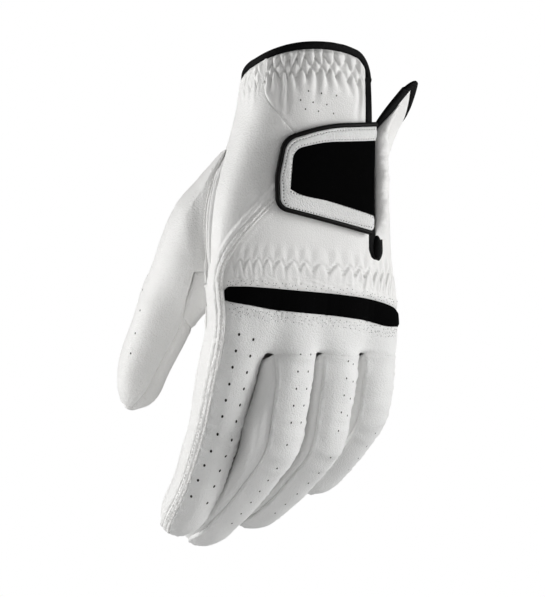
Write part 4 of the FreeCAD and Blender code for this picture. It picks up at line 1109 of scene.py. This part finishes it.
palmLines = palmValleys + [360 + form["ulnarSeamAngle"]]
palmColumns, palmRows, edgeColumns = steps(26), steps(120), steps(20)
palmPatches = []
for i in range(5):
    left, right = fixed(palmLines[i + 1]), fixed(palmLines[i])
    palmPatches.append(skinPatch(left, right, hemSewn, aboveHole, palmColumns, steps(40), onFlap=i >= 3))
    if i > 0:
        palmPatches.append(skinPatch(left, right, aboveHole, belowHole, palmColumns, steps(66),
                                     onFlap=i >= 3))
    palmPatches.append(skinPatch(left, right, belowHole, webAt, palmColumns, steps(40)))
for i in range(4):
    # the front of the finger and a cap that closes its tip
    front = fingerPatch(i, 360 - edgeAngle, 180 + edgeAngle, palmColumns, palmRows)
    tip = np.array([hand[i].form["length"]])
    around = []
    for start, end, count in ((edgeAngle, 180 - edgeAngle, palmColumns),
                              (360 - edgeAngle, 360 + edgeAngle, edgeColumns),
                              (180 + edgeAngle, 180 - edgeAngle, edgeColumns)):
        turns = np.linspace(start, end, count + 1)
        around.append(fingerStrip(i, turns, turns * 0 + tip))
    along = hand[i].directions(np.interp(tip, hand[i].stations, hand[i].bends),
                               np.interp(tip, hand[i].stations, hand[i].leans))[2][0]
    palmPatches.append(front)
    palmPatches.append(capPatch(front["points"][-1], *around, along * hand[i].form["tip"] * 0.2))
palmPatches.append(fingerPatch(3, 360 + edgeAngle, 360 - edgeAngle, edgeColumns, palmRows))
palm = leatherPiece("palm_skin", palmPatches, form["leatherWall"], thumbWhite, plainShape(wave=0.4, dip=0.35))
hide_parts("palm_panel")

for i, name in enumerate(["index_middle_fourchette", "middle_ring_fourchette", "ring_little_fourchette"]):
    walls = [fingerPatch(i, edgeAngle, -edgeAngle, steps(22), steps(150)),
             fingerPatch(i + 1, 180 + edgeAngle, sideSeam(i + 1), steps(22), steps(150))]
    fourchette = leatherPiece(name + "_skin", walls, form["knitWall"], knit,
                              plainShape(wave=0.35, dip=0.5, bulge=3.4 if i == 0 else 0.0))
    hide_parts(name)

gussetEnd = 0.44
thumbRows, gussetRows = steps(170), steps(76)
frontRows = round((1 - gussetEnd) * thumbRows)
thumbFold = {"flush": 0.2, "fuller": 1.6, "ridge": 0.3}


def thumbBackShape(skin):
    # level with the hand where it is sewn to it, and a little fuller and creased along the top
    turn, t = skin["angle"], skin["s"]
    flush = thumbFold["flush"] * (1 - smooth(t / 0.16)) * ((turn < 1) | (turn > 3.6))
    rough = 1 + 0.6 * noiseAt(skin["points"], 1.6, 15)
    ridge = thumbFold["ridge"] * bell(skin["edge"] - 0.9, 0.7) * rough
    fromTop = (turn + 0.5) % 4
    fuller = (thumbFold["fuller"] * smooth((t - 0.14) / 0.1) * (1 - smooth((t - 0.28) / 0.25))
              * (1 - smooth(fromTop - 0.6)))
    return plainShape(wave=0.6, dip=0.25)(skin) + flush + fuller + ridge * smooth((t - 0.16) / 0.1)


thumbBack = leatherPiece("thumb_back_skin", [thumbPatch(0, crotchSeam, 0, 1, steps(70), thumbRows),
                                             thumbPatch(3, 4, 0, 1, steps(50), thumbRows)],
                         form["leatherWall"], thumbWhite, thumbBackShape)
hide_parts("thumb_back_panel")
gusset = leatherPiece("thumb_gusset_skin", [thumbPatch(crotchSeam, 2, 0, gussetEnd, steps(50), gussetRows)],
                      form["leatherWall"], thumbWhite, plainShape(wave=0.3, dip=0.4))
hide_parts("thumb_gusset")

thumbFront = [thumbPatch(2, 3, 0, gussetEnd, steps(60), thumbRows - frontRows),
              thumbPatch(2, 3, gussetEnd, 1, steps(60), frontRows),
              thumbPatch(crotchSeam, 2, gussetEnd, 1, steps(50), frontRows)]
seamAtTip = float(crotchSeam(1.0))
tipTurns = ((seamAtTip, 0, steps(60)), (2, seamAtTip, steps(50)), (3, 4, steps(50)))
tipLines = [thumbPatch(start, end, 1, 1, count, 1)["points"][0] for start, end, count in tipTurns]
thumbFront.append(capPatch(thumbFront[1]["points"][-1], *tipLines,
                           thumbFrame(1.0)[1] * form["thumbTipHalfWidth"] * 0.2))
thumbFrontPiece = leatherPiece("thumb_front_skin", thumbFront, form["leatherWall"], thumbWhite,
                               plainShape(wave=0.4, dip=0.35))
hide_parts("thumb_front_panel")
print("leather made")


# bindings are strips folded over an edge: rings along a path in angle and drop
def pathOnSkin(angles, drops, onFlap, across, height):
    # points beside a path: across is mm along the skin, height is mm outwards
    slopeAngle = np.gradient(angles) * arc
    slopeDrop = np.gradient(drops)
    length = np.maximum(np.hypot(slopeAngle, slopeDrop), 1e-9)
    turn = angles + across * (slopeDrop / length) / arc
    fall = drops - across * (slopeAngle / length)
    share = onFlap[:, None]
    place = mix(skinPoint(turn, fall), skinPoint(turn, fall, True), share)
    normal = unit(mix(skinNormal(turn, fall), skinNormal(turn, fall, True), share))
    return place + normal * height


def foldedBand(name, angles, drops, onFlap, width):
    # width may be one number or one for each place along the path
    rings = []
    for k in range(binding["sides"]):
        turn = 2 * math.pi * k / binding["sides"]
        across = width / 2 * signedPower(math.cos(turn), 0.6)
        height = form["bindingWall"] / 2 * signedPower(math.sin(turn), 0.75) - form["leatherWall"] / 2
        rings.append(pathOnSkin(angles, drops, onFlap, across, height))
    points = np.stack(rings, 1).reshape(-1, 3)
    return closedObject(name, points, tubeFaces(len(angles), binding["sides"]), black, "glove")


def evenly(angles, drops, count):
    length = np.concatenate([[0], np.cumsum(np.hypot(np.diff(angles) * arc, np.diff(drops)))])
    places = np.linspace(0, length[-1], count)
    return np.interp(places, length, angles), np.interp(places, length, drops)


def insideLine(angles, drops, distance):
    # the line at this distance inside an edge that runs with growing angle
    run, fall = np.gradient(angles) * arc, np.gradient(drops)
    length = np.hypot(run, fall)
    return angles - fall / length * distance / arc, drops + run / length * distance


binding = {"hemWidth": 3.2, "hemSteps": steps(420), "hemOver": 0.35, "slitSteps": steps(260),
           "slitWidth": 3.2, "wider": 1.6, "widerOnFlap": 1.6, "sides": 14}
leftCorner, rightCorner = cornerBy(slitLeft), cornerBy(slitRight)
hemAngles = np.linspace(leftCorner[0], 360 + rightCorner[0], 3000)
hemAngles, hemMiddle = insideLine(hemAngles, hemDrop(hemAngles),
                                  binding["hemWidth"] / 2 - binding["hemOver"])
hemAngles, hemMiddle = evenly(hemAngles, hemMiddle, binding["hemSteps"])
hemOnFlap = smooth((hemAngles - palmValleys[2]) / 25)
hemBinding = foldedBand("hem_binding_skin", hemAngles, hemMiddle, hemOnFlap, binding["hemWidth"])
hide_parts("wrist_binding")

slitMiddle = form["slitWidth"] / 2 + binding["slitWidth"] / 2
leftDrops = np.linspace(leftCorner[1] - 0.6, form["slitDrop"], 160)
rightDrops = np.linspace(form["slitDrop"], rightCorner[1] - 0.6, 160)
bottomTurns = np.linspace(0, math.pi, 24)[1:-1]
slitAngles = np.concatenate([slitLeft(leftDrops) + (binding["slitWidth"] + binding["wider"]) / 2 / arc,
                             slitAngle(form["slitDrop"]) + slitMiddle * np.cos(bottomTurns) / arc,
                             slitRight(rightDrops) - binding["slitWidth"] / 2 / arc])
slitDrops = np.concatenate([leftDrops, form["slitDrop"] + slitMiddle * np.sin(bottomTurns), rightDrops])
slitAngles, evenDrops = evenly(slitAngles, slitDrops, binding["slitSteps"])
slitOnFlap = (slitAngles < slitAngle(evenDrops)).astype(float) * (evenDrops < form["slitDrop"])
# wider where the loose flap turns out
slitWidths = (binding["slitWidth"] + binding["wider"]
              + binding["widerOnFlap"] * slitOnFlap * smooth((44 - evenDrops) / 14))
slitBinding = foldedBand("slit_binding_skin", slitAngles, evenDrops, slitOnFlap, slitWidths)
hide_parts("slit_binding")

# the binding's end fills the bottom of the slit as a rounded drop
slitDropShape = {"middle": 82.0, "halfWidth": 2.7, "halfHeight": 4.9, "height": 2.0, "shift": 0.5,
                 "topWidth": 1.0, "bottomWidth": 0.75, "proud": 0.25}
rounds, spokes = steps(12), steps(48)
reach, turn = np.meshgrid(np.linspace(0, 1, rounds + 1)[1:],
                          np.linspace(0, 2 * math.pi, spokes, endpoint=False), indexing="ij")
endDrops = slitDropShape["middle"] + slitDropShape["halfHeight"] * reach * np.cos(turn)
taper = mix(slitDropShape["bottomWidth"], slitDropShape["topWidth"], (1 + np.cos(turn)) / 2)
endAngles = slitAngle(endDrops) + (slitDropShape["shift"] + slitDropShape["halfWidth"] * taper * reach
                                   * np.sin(turn)) / arc
endHeights = slitDropShape["height"] * np.sqrt(np.maximum(1 - reach ** 2, 0)) + slitDropShape["proud"]
endPoints = skinPoint(endAngles, endDrops) + skinNormal(endAngles, endDrops) * endHeights[..., None]
dropTop = skinAt(float(slitAngle(slitDropShape["middle"])), slitDropShape["middle"])
dropTop = dropTop + unit(endPoints[0].mean(0) - dropTop) * (slitDropShape["height"] + slitDropShape["proud"])
endPoints = np.concatenate([[dropTop], endPoints.reshape(-1, 3)])
endFaces = [[0, 1 + k, 1 + (k + 1) % spokes] for k in range(spokes)]
for i in range(rounds - 1):
    for k in range(spokes):
        first, after = 1 + i * spokes, (k + 1) % spokes
        endFaces.append([first + k, first + spokes + k, first + spokes + after, first + after])
endFaces.append([1 + (rounds - 1) * spokes + k for k in range(spokes)][::-1])
slitEnd = closedObject("slit_end_skin", endPoints, endFaces, black, "glove")

# turned edge of the flap: a soft roll beside the slit
flapRoll = {"top": 25, "bottom": 79, "overSlit": 2.1, "start": -4.5, "width": 8.6, "height": 3.5,
            "wrinkle": 1.1, "fineWrinkle": 0.6, "rows": steps(170), "sides": 28}
rollDrops = np.linspace(flapRoll["top"], flapRoll["bottom"], flapRoll["rows"])
rollRings = []
for k in range(flapRoll["sides"]):
    turn = 2 * math.pi * k / flapRoll["sides"]
    share, rise = (1 - math.cos(turn)) / 2, math.sin(turn)
    over = mix(flapRoll["start"], flapRoll["overSlit"], smooth((rollDrops - flapRoll["top"]) / 16))
    across = slitRight(rollDrops) + mix(over, flapRoll["overSlit"] - flapRoll["width"], share) / arc
    ends = smooth((rollDrops - flapRoll["top"]) / 12) * smooth((flapRoll["bottom"] - rollDrops) / 9)
    place = skinPoint(across, rollDrops, True)
    puff = (noiseAt(place * [1, 1, 0.6], 5.0, 21) * flapRoll["wrinkle"]
            + noiseAt(place * [0.7, 0.7, 1.5], 2.4, 22) * flapRoll["fineWrinkle"])
    height = np.where(rise > 0, flapRoll["height"] * rise * ends + puff * rise * ends, -0.3)
    rollRings.append(place + skinNormal(across, rollDrops, True) * (height + 0.5)[:, None])
rollPiece = closedObject("flap_roll_skin", np.stack(rollRings, 1).reshape(-1, 3),
                         tubeFaces(flapRoll["rows"], flapRoll["sides"]), white, "glove")
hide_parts("flap_edge_roll")

# knuckle band, a flat elastic let in between the leather pieces
bandPatches = [skinPatch(fixed(backValleys[0] - 1.2), ulnarSeam, bandTop, bandBottom, steps(220), steps(18),
                         soft=True)]


def bandShape(skin):
    # proud of the leather, with sunk edges, and tucked under the wrap at its thumb end
    tucked = -1.1 * smooth((skin["angle"] - 157.5) / 3.5)
    return 0.4 + tucked - 0.6 * bell(skin["edge"], 0.7) + noiseAt(skin["points"], 12.0, 31) * 0.2


bandPiece = leatherPiece("knuckle_band_skin", bandPatches, form["leatherWall"], bandBlack, bandShape)
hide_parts("knuckle_band")
print("bindings made")


# closing tab: heights are mm out from the skin, outlines are x and drop with a radius at each corner
tab = {"hookTop": 2.06, "baseProud": 2.95, "faceProud": 3.65, "piping": 1.0, "pipingSides": 16,
       "rootX": 17.2, "rootDrop": 55.5, "crown": 0.5, "outerGroove": 1.1, "innerGroove": 0.9,
       "grooveDepth": 0.3, "frameColumns": steps(26), "segment": steps(46)}
tabCorners = [(28.4, 31.6), (-8, 32.4), (-26.4, 38), (-30.2, 54), (-29.8, 67), (28.4, 79.8)]
tabRadii = [0, 70, 9, 24, 6, 0]
faceCorners = [(28.4, 39.2), (-9, 40), (-22.8, 43), (-24.2, 60.8), (-6, 63.2), (28.4, 72.2)]
faceRadii = [0, 50, 6, 1.2, 60, 0]


def roundedPath(corners, radii, count):
    # a rounded outline with the same count of points between the middles of its corners
    corners = np.array(corners, float)
    pieces = []
    for k in range(len(corners)):
        if radii[k] == 0:
            pieces.append((corners[k:k + 1], corners[k:k + 1]))
            continue
        toLast, toNext = unit(corners[k - 1] - corners[k]), unit(corners[k + 1] - corners[k])
        half = math.acos(float(toLast @ toNext)) / 2
        centre = corners[k] + unit(toLast + toNext) * radii[k] / math.sin(half)
        start = corners[k] + toLast * radii[k] / math.tan(half)
        end = corners[k] + toNext * radii[k] / math.tan(half)
        first, last = [math.atan2(*(place - centre)[::-1]) for place in (start, end)]
        sweep = (last - first + math.pi) % (2 * math.pi) - math.pi
        turns = first + sweep * np.linspace(0, 1, 25)
        around = centre + radii[k] * np.stack([np.cos(turns), np.sin(turns)], -1)
        pieces.append((around[:13], around[12:]))
    path = []
    for k in range(len(corners) - 1):
        stretch = np.concatenate([pieces[k][1], pieces[k + 1][0]])
        length = np.concatenate([[0], np.cumsum(np.linalg.norm(np.diff(stretch, axis=0), axis=1))])
        places = np.linspace(0, length[-1], count + 1)[(1 if k else 0):]
        path.append(np.stack([np.interp(places, length, stretch[:, axis]) for axis in (0, 1)], -1))
    return np.concatenate(path)


def insideSign(path):
    slope = np.gradient(path, axis=0)
    k = len(path) // 2
    side = np.array([-slope[k, 1], slope[k, 0]]) @ (path.mean(0) - path[k])
    return 1 if side > 0 else -1


def inwards(path, distance):
    slope = unit(np.gradient(path, axis=0))
    return path + np.stack([-slope[:, 1], slope[:, 0]], -1) * distance * insideSign(path)


def overBack(path, proud):
    # points over the back of the hand at these x and drop, this far out from it
    low, high = np.full(path.shape[:-1], 40.0), np.full(path.shape[:-1], 170.0)
    proud = np.broadcast_to(np.asarray(proud, float), path.shape[:-1])[..., None]
    for attempt in range(settleRounds["overBack"]):
        angle = (low + high) / 2
        place = skinPoint(angle, path[..., 1]) + skinNormal(angle, path[..., 1]) * proud
        right = place[..., 0] > path[..., 0]
        low, high = np.where(right, angle, low), np.where(right, high, angle)
    return place


outline = roundedPath(tabCorners, tabRadii, tab["segment"])
faceOutline = roundedPath(faceCorners, faceRadii, tab["segment"])
frameOuter = inwards(outline, 2 * tab["piping"] - 0.2)
crossing = np.linspace(0, 1, tab["frameColumns"] + 1)[None]
framePlan = frameOuter[:, None] * (1 - crossing[..., None]) + faceOutline[:, None] * crossing[..., None]
framePlan = framePlan[(framePlan[..., 0] < tab["rootX"]).any(1)]
framePlan[..., 0] = np.minimum(framePlan[..., 0], tab["rootX"])
frameAcross = np.linalg.norm(framePlan[:, -1] - framePlan[:, 0], axis=-1)
fromOuter, fromInner = crossing * frameAcross[:, None], (1 - crossing) * frameAcross[:, None]
frameHeight = (tab["faceProud"] + tab["crown"] * (1 - (2 * crossing - 1) ** 4)
               - tab["grooveDepth"] * bell(fromOuter - tab["outerGroove"], 0.3)
               - tab["grooveDepth"] * bell(fromInner - tab["innerGroove"], 0.3) - 0.5 * bell(fromInner, 0.25))
framePiece = slabObject("tab_frame_skin", overBack(framePlan, frameHeight),
                        overBack(framePlan, tab["baseProud"] - 0.1), frameWhite, "tab")
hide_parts("tab_frame")


def tabSheet(name, edge, top, below):
    # a sheet that fills an outline, drawn from its edge to the middle of the tab's root
    edge = edge[edge[:, 0] < tab["rootX"] + 0.4]
    share = np.linspace(0, 1, steps(40) + 1)[None, :, None]
    plan = edge[:, None] * (1 - share) + np.array([edge[[0, -1], 0].mean(), tab["rootDrop"]]) * share
    return slabObject(name, overBack(plan, top), overBack(plan, below), panelBlack, "tab")


# the smooth facing inside the frame
panelPiece = tabSheet("tab_panel_skin", inwards(faceOutline, -0.25), tab["faceProud"] - 0.12,
                      tab["baseProud"])
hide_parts("tab_panel")

# the backing under the facing, down to the hook tape
basePiece = tabSheet("tab_base_skin", inwards(outline, 2 * tab["piping"]), tab["baseProud"] - 0.02,
                     tab["hookTop"])
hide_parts("tab_base")

# piping round the tab
pipingPath = inwards(outline, tab["piping"])
pipingPath = pipingPath[pipingPath[:, 0] < tab["rootX"] + 1.4]
pipingMiddle = overBack(pipingPath, (tab["hookTop"] + tab["faceProud"]) / 2 - 0.3)
along = unit(np.gradient(pipingMiddle, axis=0))
side = unit(np.cross(np.array([0, -1.0, 0]), along))
rise = np.cross(along, side)
pipingRings = []
for k in range(tab["pipingSides"]):
    turn = 2 * math.pi * k / tab["pipingSides"]
    pipingRings.append(pipingMiddle + side * tab["piping"] * math.cos(turn)
                       + rise * tab["piping"] * math.sin(turn))
pipingPiece = closedObject("tab_piping_skin", np.stack(pipingRings, 1).reshape(-1, 3),
                           tubeFaces(len(pipingPath), tab["pipingSides"]), pipingBlack, "tab")
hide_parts("tab_piping")
print("tab made")


# stitches and holes are seated on the leather's own surface
def surfaceOf(obj):
    data = obj.data
    vertices = [vertex.co.copy() for vertex in data.vertices]
    return bvhtree.BVHTree.FromPolygons(vertices, [list(polygon.vertices) for polygon in data.polygons])


def resampled(points, pitch):
    length = np.concatenate([[0], np.cumsum(np.linalg.norm(np.diff(points, axis=0), axis=1))])
    count = max(2, int(length[-1] / pitch))
    places = (np.arange(count) + 0.5) * length[-1] / count
    return np.stack([np.interp(places, length, points[:, axis]) for axis in range(3)], -1)


def seated(places, tree, outwards):
    # the nearest places on a surface, with the normals there
    spots, normals = [], []
    for place, outward in zip(places, outwards):
        start = Vector(place + outward * 4) * mm
        hit = tree.ray_cast(start, -Vector(outward), 9 * mm)
        location, normal = (hit[0], hit[1]) if hit[0] is not None else (Vector(place) * mm, Vector(outward))
        spots.append(np.array(location) / mm)
        normals.append(np.array(normal))
    return np.array(spots), unit(np.array(normals))


# a stitch is a short rounded bead: places along it and how thick it is there
stitch = {"pitch": 1.5, "gap": 0.3, "sides": 6, "flat": 0.8, "lift": 0.25,
          "rings": [(-0.5, 0.0), (-0.42, 0.6), (-0.2, 1.0), (0.2, 1.0), (0.42, 0.6), (0.5, 0.0)]}


def stitchRow(name, places, outwards, tree, thick):
    line = resampled(places, stitch["pitch"])
    shares = np.linspace(0, 1, len(line))
    facing = unit(np.stack([np.interp(shares, np.linspace(0, 1, len(outwards)), outwards[:, axis])
                            for axis in range(3)], -1))
    spots, normals = seated(line, tree, facing)
    along = unit(np.gradient(spots, axis=0))
    side = unit(np.cross(along, normals))
    up = np.cross(side, along)
    sides, rings = stitch["sides"], stitch["rings"]
    turns = [math.pi * 2 * k / sides for k in range(sides)]
    length = stitch["pitch"] * (1 - stitch["gap"])
    points, polygons = [], []
    for spot, ahead, aside, outward in zip(spots, along, side, up):
        base = len(points)
        for reach, radius in rings:
            for turn in turns:
                rise = thick * radius * math.sin(turn) * stitch["flat"] + thick * stitch["lift"]
                points.append(spot + ahead * length * reach + aside * thick * radius * math.cos(turn)
                              + outward * (rise - thick * reach ** 2))
        for i in range(len(rings) - 1):
            low, high = base + i * sides, base + (i + 1) * sides
            for k in range(sides):
                after = (k + 1) % sides
                polygons.append([low + k, low + after, high + after, high + k])
    return closedObject(name, np.array(points), polygons, seamThread, "glove")


# a hole is a small disc of painted shade, dark as the shade inside a hole, that lies on the leather, drawn
# out along the hand by stretch
hole = {"sides": 10, "rim": 0.03, "inner": 0.6, "innerRise": 0.05}


def holeRow(name, spots, normals, radius, body="glove", stretch=1.0):
    points, polygons = [], []
    sides = hole["sides"]
    for spot, normal in zip(spots, normals):
        down = unit(np.array([0, 0, -1.0]) - normal * (np.array([0, 0, -1.0]) @ normal))
        side = np.cross(normal, down)
        base = len(points)
        for reach, rise in ((1.0, hole["rim"]), (hole["inner"], hole["innerRise"])):
            for k in range(sides):
                turn = 2 * math.pi * k / sides
                points.append(spot + side * radius * reach * math.cos(turn)
                              + down * radius * stretch * reach * math.sin(turn) + normal * rise)
        points.append(spot + normal * hole["innerRise"])
        for k in range(sides):
            after = (k + 1) % sides
            polygons.append([base + k, base + after, base + sides + after, base + sides + k])
            polygons.append([base + sides + k, base + sides + after, base + 2 * sides])
    obj = meshObject(name, np.array(points), polygons, holeShade)
    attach(obj, body)


wrapTree, fingerTree, backTree, thumbTree = [surfaceOf(piece) for piece in (wrap, fingers, back, thumbBack)]

# two rows in the grooves of the wrap's seam, from the waist to the fingertip
seamDrops = np.linspace(40, form["webDrop"], 110)
tipS = np.linspace(indexS[0] + 1, fingerForm["index"]["length"] - 7, 110)
for number, inset in enumerate(wrapSeam["grooves"]):
    seamTurns = wrapEdgeTurn(seamDrops) + inset / arc
    fingerTurn = indexTurns[0] + np.degrees(inset / 11.2) + tipS * 0
    onFinger = fingerStrip(0, fingerTurn, tipS)
    places = np.concatenate([skinPoint(seamTurns, seamDrops), onFinger])
    outwards = np.concatenate([skinNormal(seamTurns, seamDrops),
                               unit(onFinger - hand[0].point(fingerTurn + 180, tipS))])
    stitchRow("wrap_stitches_%d" % number, places, outwards, wrapTree, 0.2)

# two rows along the wrap's edge on the thumb
joinOut = unit(np.cross(np.gradient(joinPoints, axis=0), np.gradient(joinPoints, axis=1)))
fromSeam = np.linalg.norm(joinPoints - joinPoints[:, :1], axis=-1)
rows = np.arange(narrowColumns, len(joinPoints) - steps(10))
for number, inset in enumerate(thumbEdge["stitches"]):
    columns = np.argmax(fromSeam > inset, 1)
    stitchRow("thumb_seam_stitches_%d" % number, joinPoints[rows, columns[rows]],
              joinOut[rows, columns[rows]], wrapTree, 0.14)

# the needle's holes round the tab's frame, along its two grooves
tabHoles = {"pitch": 1.35, "radius": 0.27}
frameTree = surfaceOf(framePiece)
for number, share in enumerate((tab["outerGroove"] / frameAcross, 1 - tab["innerGroove"] / frameAcross)):
    plan = framePlan[:, 0] * (1 - share[:, None]) + framePlan[:, -1] * share[:, None]
    plan = plan[plan[:, 0] < tab["rootX"] - 0.5]
    places = resampled(overBack(plan, tab["faceProud"]), tabHoles["pitch"])
    spots, normals = seated(places, frameTree, np.tile([0, -1.0, 0], (len(places), 1)))
    holeRow("tab_stitch_holes_%d" % number, spots, normals, tabHoles["radius"], "tab")

# punched holes: for each finger the angle of each row, its first place and how many
fingerHoles = {"pitch": 6.9, "drift": 14, "stretch": 1.35,
               "index": {"radius": 0.5, "rows": [(116, 8.3, 11), (84, 9.9, 11)]},
               "middle": {"radius": 0.36, "rows": [(92, 17.5, 12), (66, 17.3, 5)]},
               "ring": {"radius": 0.32, "rows": [(84, 20.4, 11), (62, 21.5, 4)]},
               "little": {"radius": 0.28, "rows": [(70, 46, 4)]}}
for i, name in enumerate(fingerNames):
    spots, normals = [], []
    for number, (turn, start, count) in enumerate(fingerHoles[name]["rows"]):
        for k in range(count):
            # the first row of two fingers drifts over the back towards the tip
            drifts = name in ("index", "ring") and number == 0
            drift = fingerHoles["drift"] * smooth((k - 5) / 5) if drifts else 0
            s = np.array([start + fingerHoles["pitch"] * k])
            place = hand[i].point(np.array([float(turn + drift)]), s)
            outward = unit(place - hand[i].point(np.array([float(turn + 180)]), s))
            spot, normal = seated(place, fingerTree, outward)
            spots.append(spot[0])
            normals.append(normal[0])
    holeRow(name + "_holes", spots, normals, fingerHoles[name]["radius"], stretch=fingerHoles["stretch"])

thumbHoles = {"along": [0.42, 0.49, 0.55, 0.62, 0.71, 0.79], "turn": [3.3, 3.38, 3.5, 3.72, 3.84, 3.92],
              "radius": 0.36, "stretch": 1.2}
thumbT, thumbTurns = np.array(thumbHoles["along"]), np.array(thumbHoles["turn"])
thumbPlaces = thumbPoint(thumbTurns, thumbT)
spots, normals = seated(thumbPlaces, thumbTree, unit(thumbPlaces - thumbPoint(thumbTurns + 2, thumbT)))
holeRow("thumb_holes", spots, normals, thumbHoles["radius"], stretch=thumbHoles["stretch"])

# a small lattice of holes under the cuff's smocking
cuffHoles = {"angle": 103, "drop": 25.0, "across": 6.75, "down": 3.6, "tilt": 0.9, "radius": 0.3,
             "stretch": 1.2}
angles, drops = [], []
for row in range(3):
    for column in range(3):
        angles.append(cuffHoles["angle"] + (column - 1 + 0.5 * (row == 1)) * cuffHoles["across"] / arc)
        drops.append(cuffHoles["drop"] + (row - 1) * cuffHoles["down"] - cuffHoles["tilt"] * column)
angles, drops = np.array(angles), np.array(drops)
spots, normals = seated(skinPoint(angles, drops), backTree, skinNormal(angles, drops))
holeRow("cuff_holes", spots, normals, cuffHoles["radius"], stretch=cuffHoles["stretch"])

# needle holes above and below the knuckle band, at these gaps from its edges
needle = {"from": 14, "to": 158, "pitch": 2.9, "jitter": 1.1, "dropJitter": 0.6, "radius": 0.17,
          "above": (-2.2, -1.0), "below": (1.0, 2.3, 3.6)}
random = np.random.default_rng(4)
for name, edge, tree in (("above", bandTop, backTree), ("below", bandBottom, fingerTree)):
    spots, normals = [], []
    for number, gap in enumerate(needle[name]):
        angles = np.arange(needle["from"] + number, needle["to"], needle["pitch"])
        angles = angles + random.uniform(-needle["jitter"], needle["jitter"], len(angles))
        drops = edge(angles) + gap + random.uniform(-needle["dropJitter"], needle["dropJitter"], len(angles))
        spot, normal = seated(softPoint(angles, drops), tree, skinNormal(angles, drops))
        spots.append(spot)
        normals.append(normal)
    holeRow("needle_holes_" + name, np.concatenate(spots), np.concatenate(normals), needle["radius"])
print("stitches and holes made")

# the pieces that stay as built
keptPieces = {"cuff_elastic": elasticCloth, "knuckle_elastic": elasticCloth, "palm_elastic": elasticCloth,
              "hook_patch": hookPlastic, "loop_patch": loopCloth}
for name, material in keptPieces.items():
    node = bpy.data.objects[name]
    node.data.materials.clear()
    node.data.materials.append(material)

# a pale floor below, and a world that is white to the camera and soft to the object
bpy.ops.mesh.primitive_plane_add(size=6, location=(0, 0, cadBounds[0][2] - 0.03))
floor = bpy.context.object
floor.name = "floor"
floor.data.materials.append(newMaterial("pale_floor", (0.9, 0.9, 0.9), 0.8)[0])

world = bpy.data.worlds.new("studio")
bpy.context.scene.world = world
world.use_nodes = True
world.node_tree.nodes.clear()
sky = Nodes(world.node_tree)
soft = sky.output("ShaderNodeBackground", 0, Strength=0.17)
plain = sky.output("ShaderNodeBackground", 0, Strength=1.0, Color=(1, 1, 1, 1))
toCameraOnly = sky.output("ShaderNodeLightPath", "Is Camera Ray")
chosen = sky.output("ShaderNodeMixShader", 0, i0=toCameraOnly, i1=soft, i2=plain)
sky.node("ShaderNodeOutputWorld", i0=chosen)

# the camera looks at the back of the hand from its thumb side
view = {"azimuth": -35, "height": -0.1026, "right": -0.0162, "width": 0.2388, "distance": 1.2}
viewAzimuth = math.radians(view["azimuth"])
toCamera = Vector((math.sin(viewAzimuth), -math.cos(viewAzimuth), 0))
toRight = Vector((math.cos(viewAzimuth), math.sin(viewAzimuth), 0))
aim = Vector((0, 0, view["height"])) + toRight * view["right"]

# soft lamps beside and before the glove, in metres from it and watts
lamps = {
    "left_box": {"right": -0.97, "up": 0.16, "forward": 0.03, "size": (0.45, 0.8), "power": 9},
    "right_box": {"right": 0.97, "up": 0.02, "forward": 0.02, "size": (0.45, 0.8), "power": 10.5},
    "low_box": {"right": 0.35, "up": -0.02, "forward": 0.9, "size": (0.5, 0.2), "power": 0.55},
    "front_box": {"right": -0.25, "up": 0.0, "forward": 1.1, "size": (0.7, 0.7), "power": 1.3},
}
for name, lamp in lamps.items():
    place = aim + toRight * lamp["right"] + Vector((0, 0, lamp["up"])) + toCamera * lamp["forward"]
    light = bpy.data.lights.new(name, "AREA")
    light.shape = "RECTANGLE"
    light.size, light.size_y = lamp["size"]
    light.energy = lamp["power"]
    obj = bpy.data.objects.new(name, light)
    bpy.context.collection.objects.link(obj)
    obj.location = place
    obj.rotation_euler = (aim - place).to_track_quat("-Z", "Y").to_euler()

camera = bpy.data.cameras.new("main_camera")
camera.type = "ORTHO"
camera.ortho_scale = view["width"]
camera.clip_end = 20
cameraObject = bpy.data.objects.new("main_camera", camera)
bpy.context.collection.objects.link(cameraObject)
cameraObject.location = aim + toCamera * view["distance"]
cameraObject.rotation_euler = (-toCamera).to_track_quat("-Z", "Y").to_euler()
bpy.context.scene.camera = cameraObject
bpy.context.scene.view_settings.view_transform = "Standard"
print("floor, lamps and camera made")
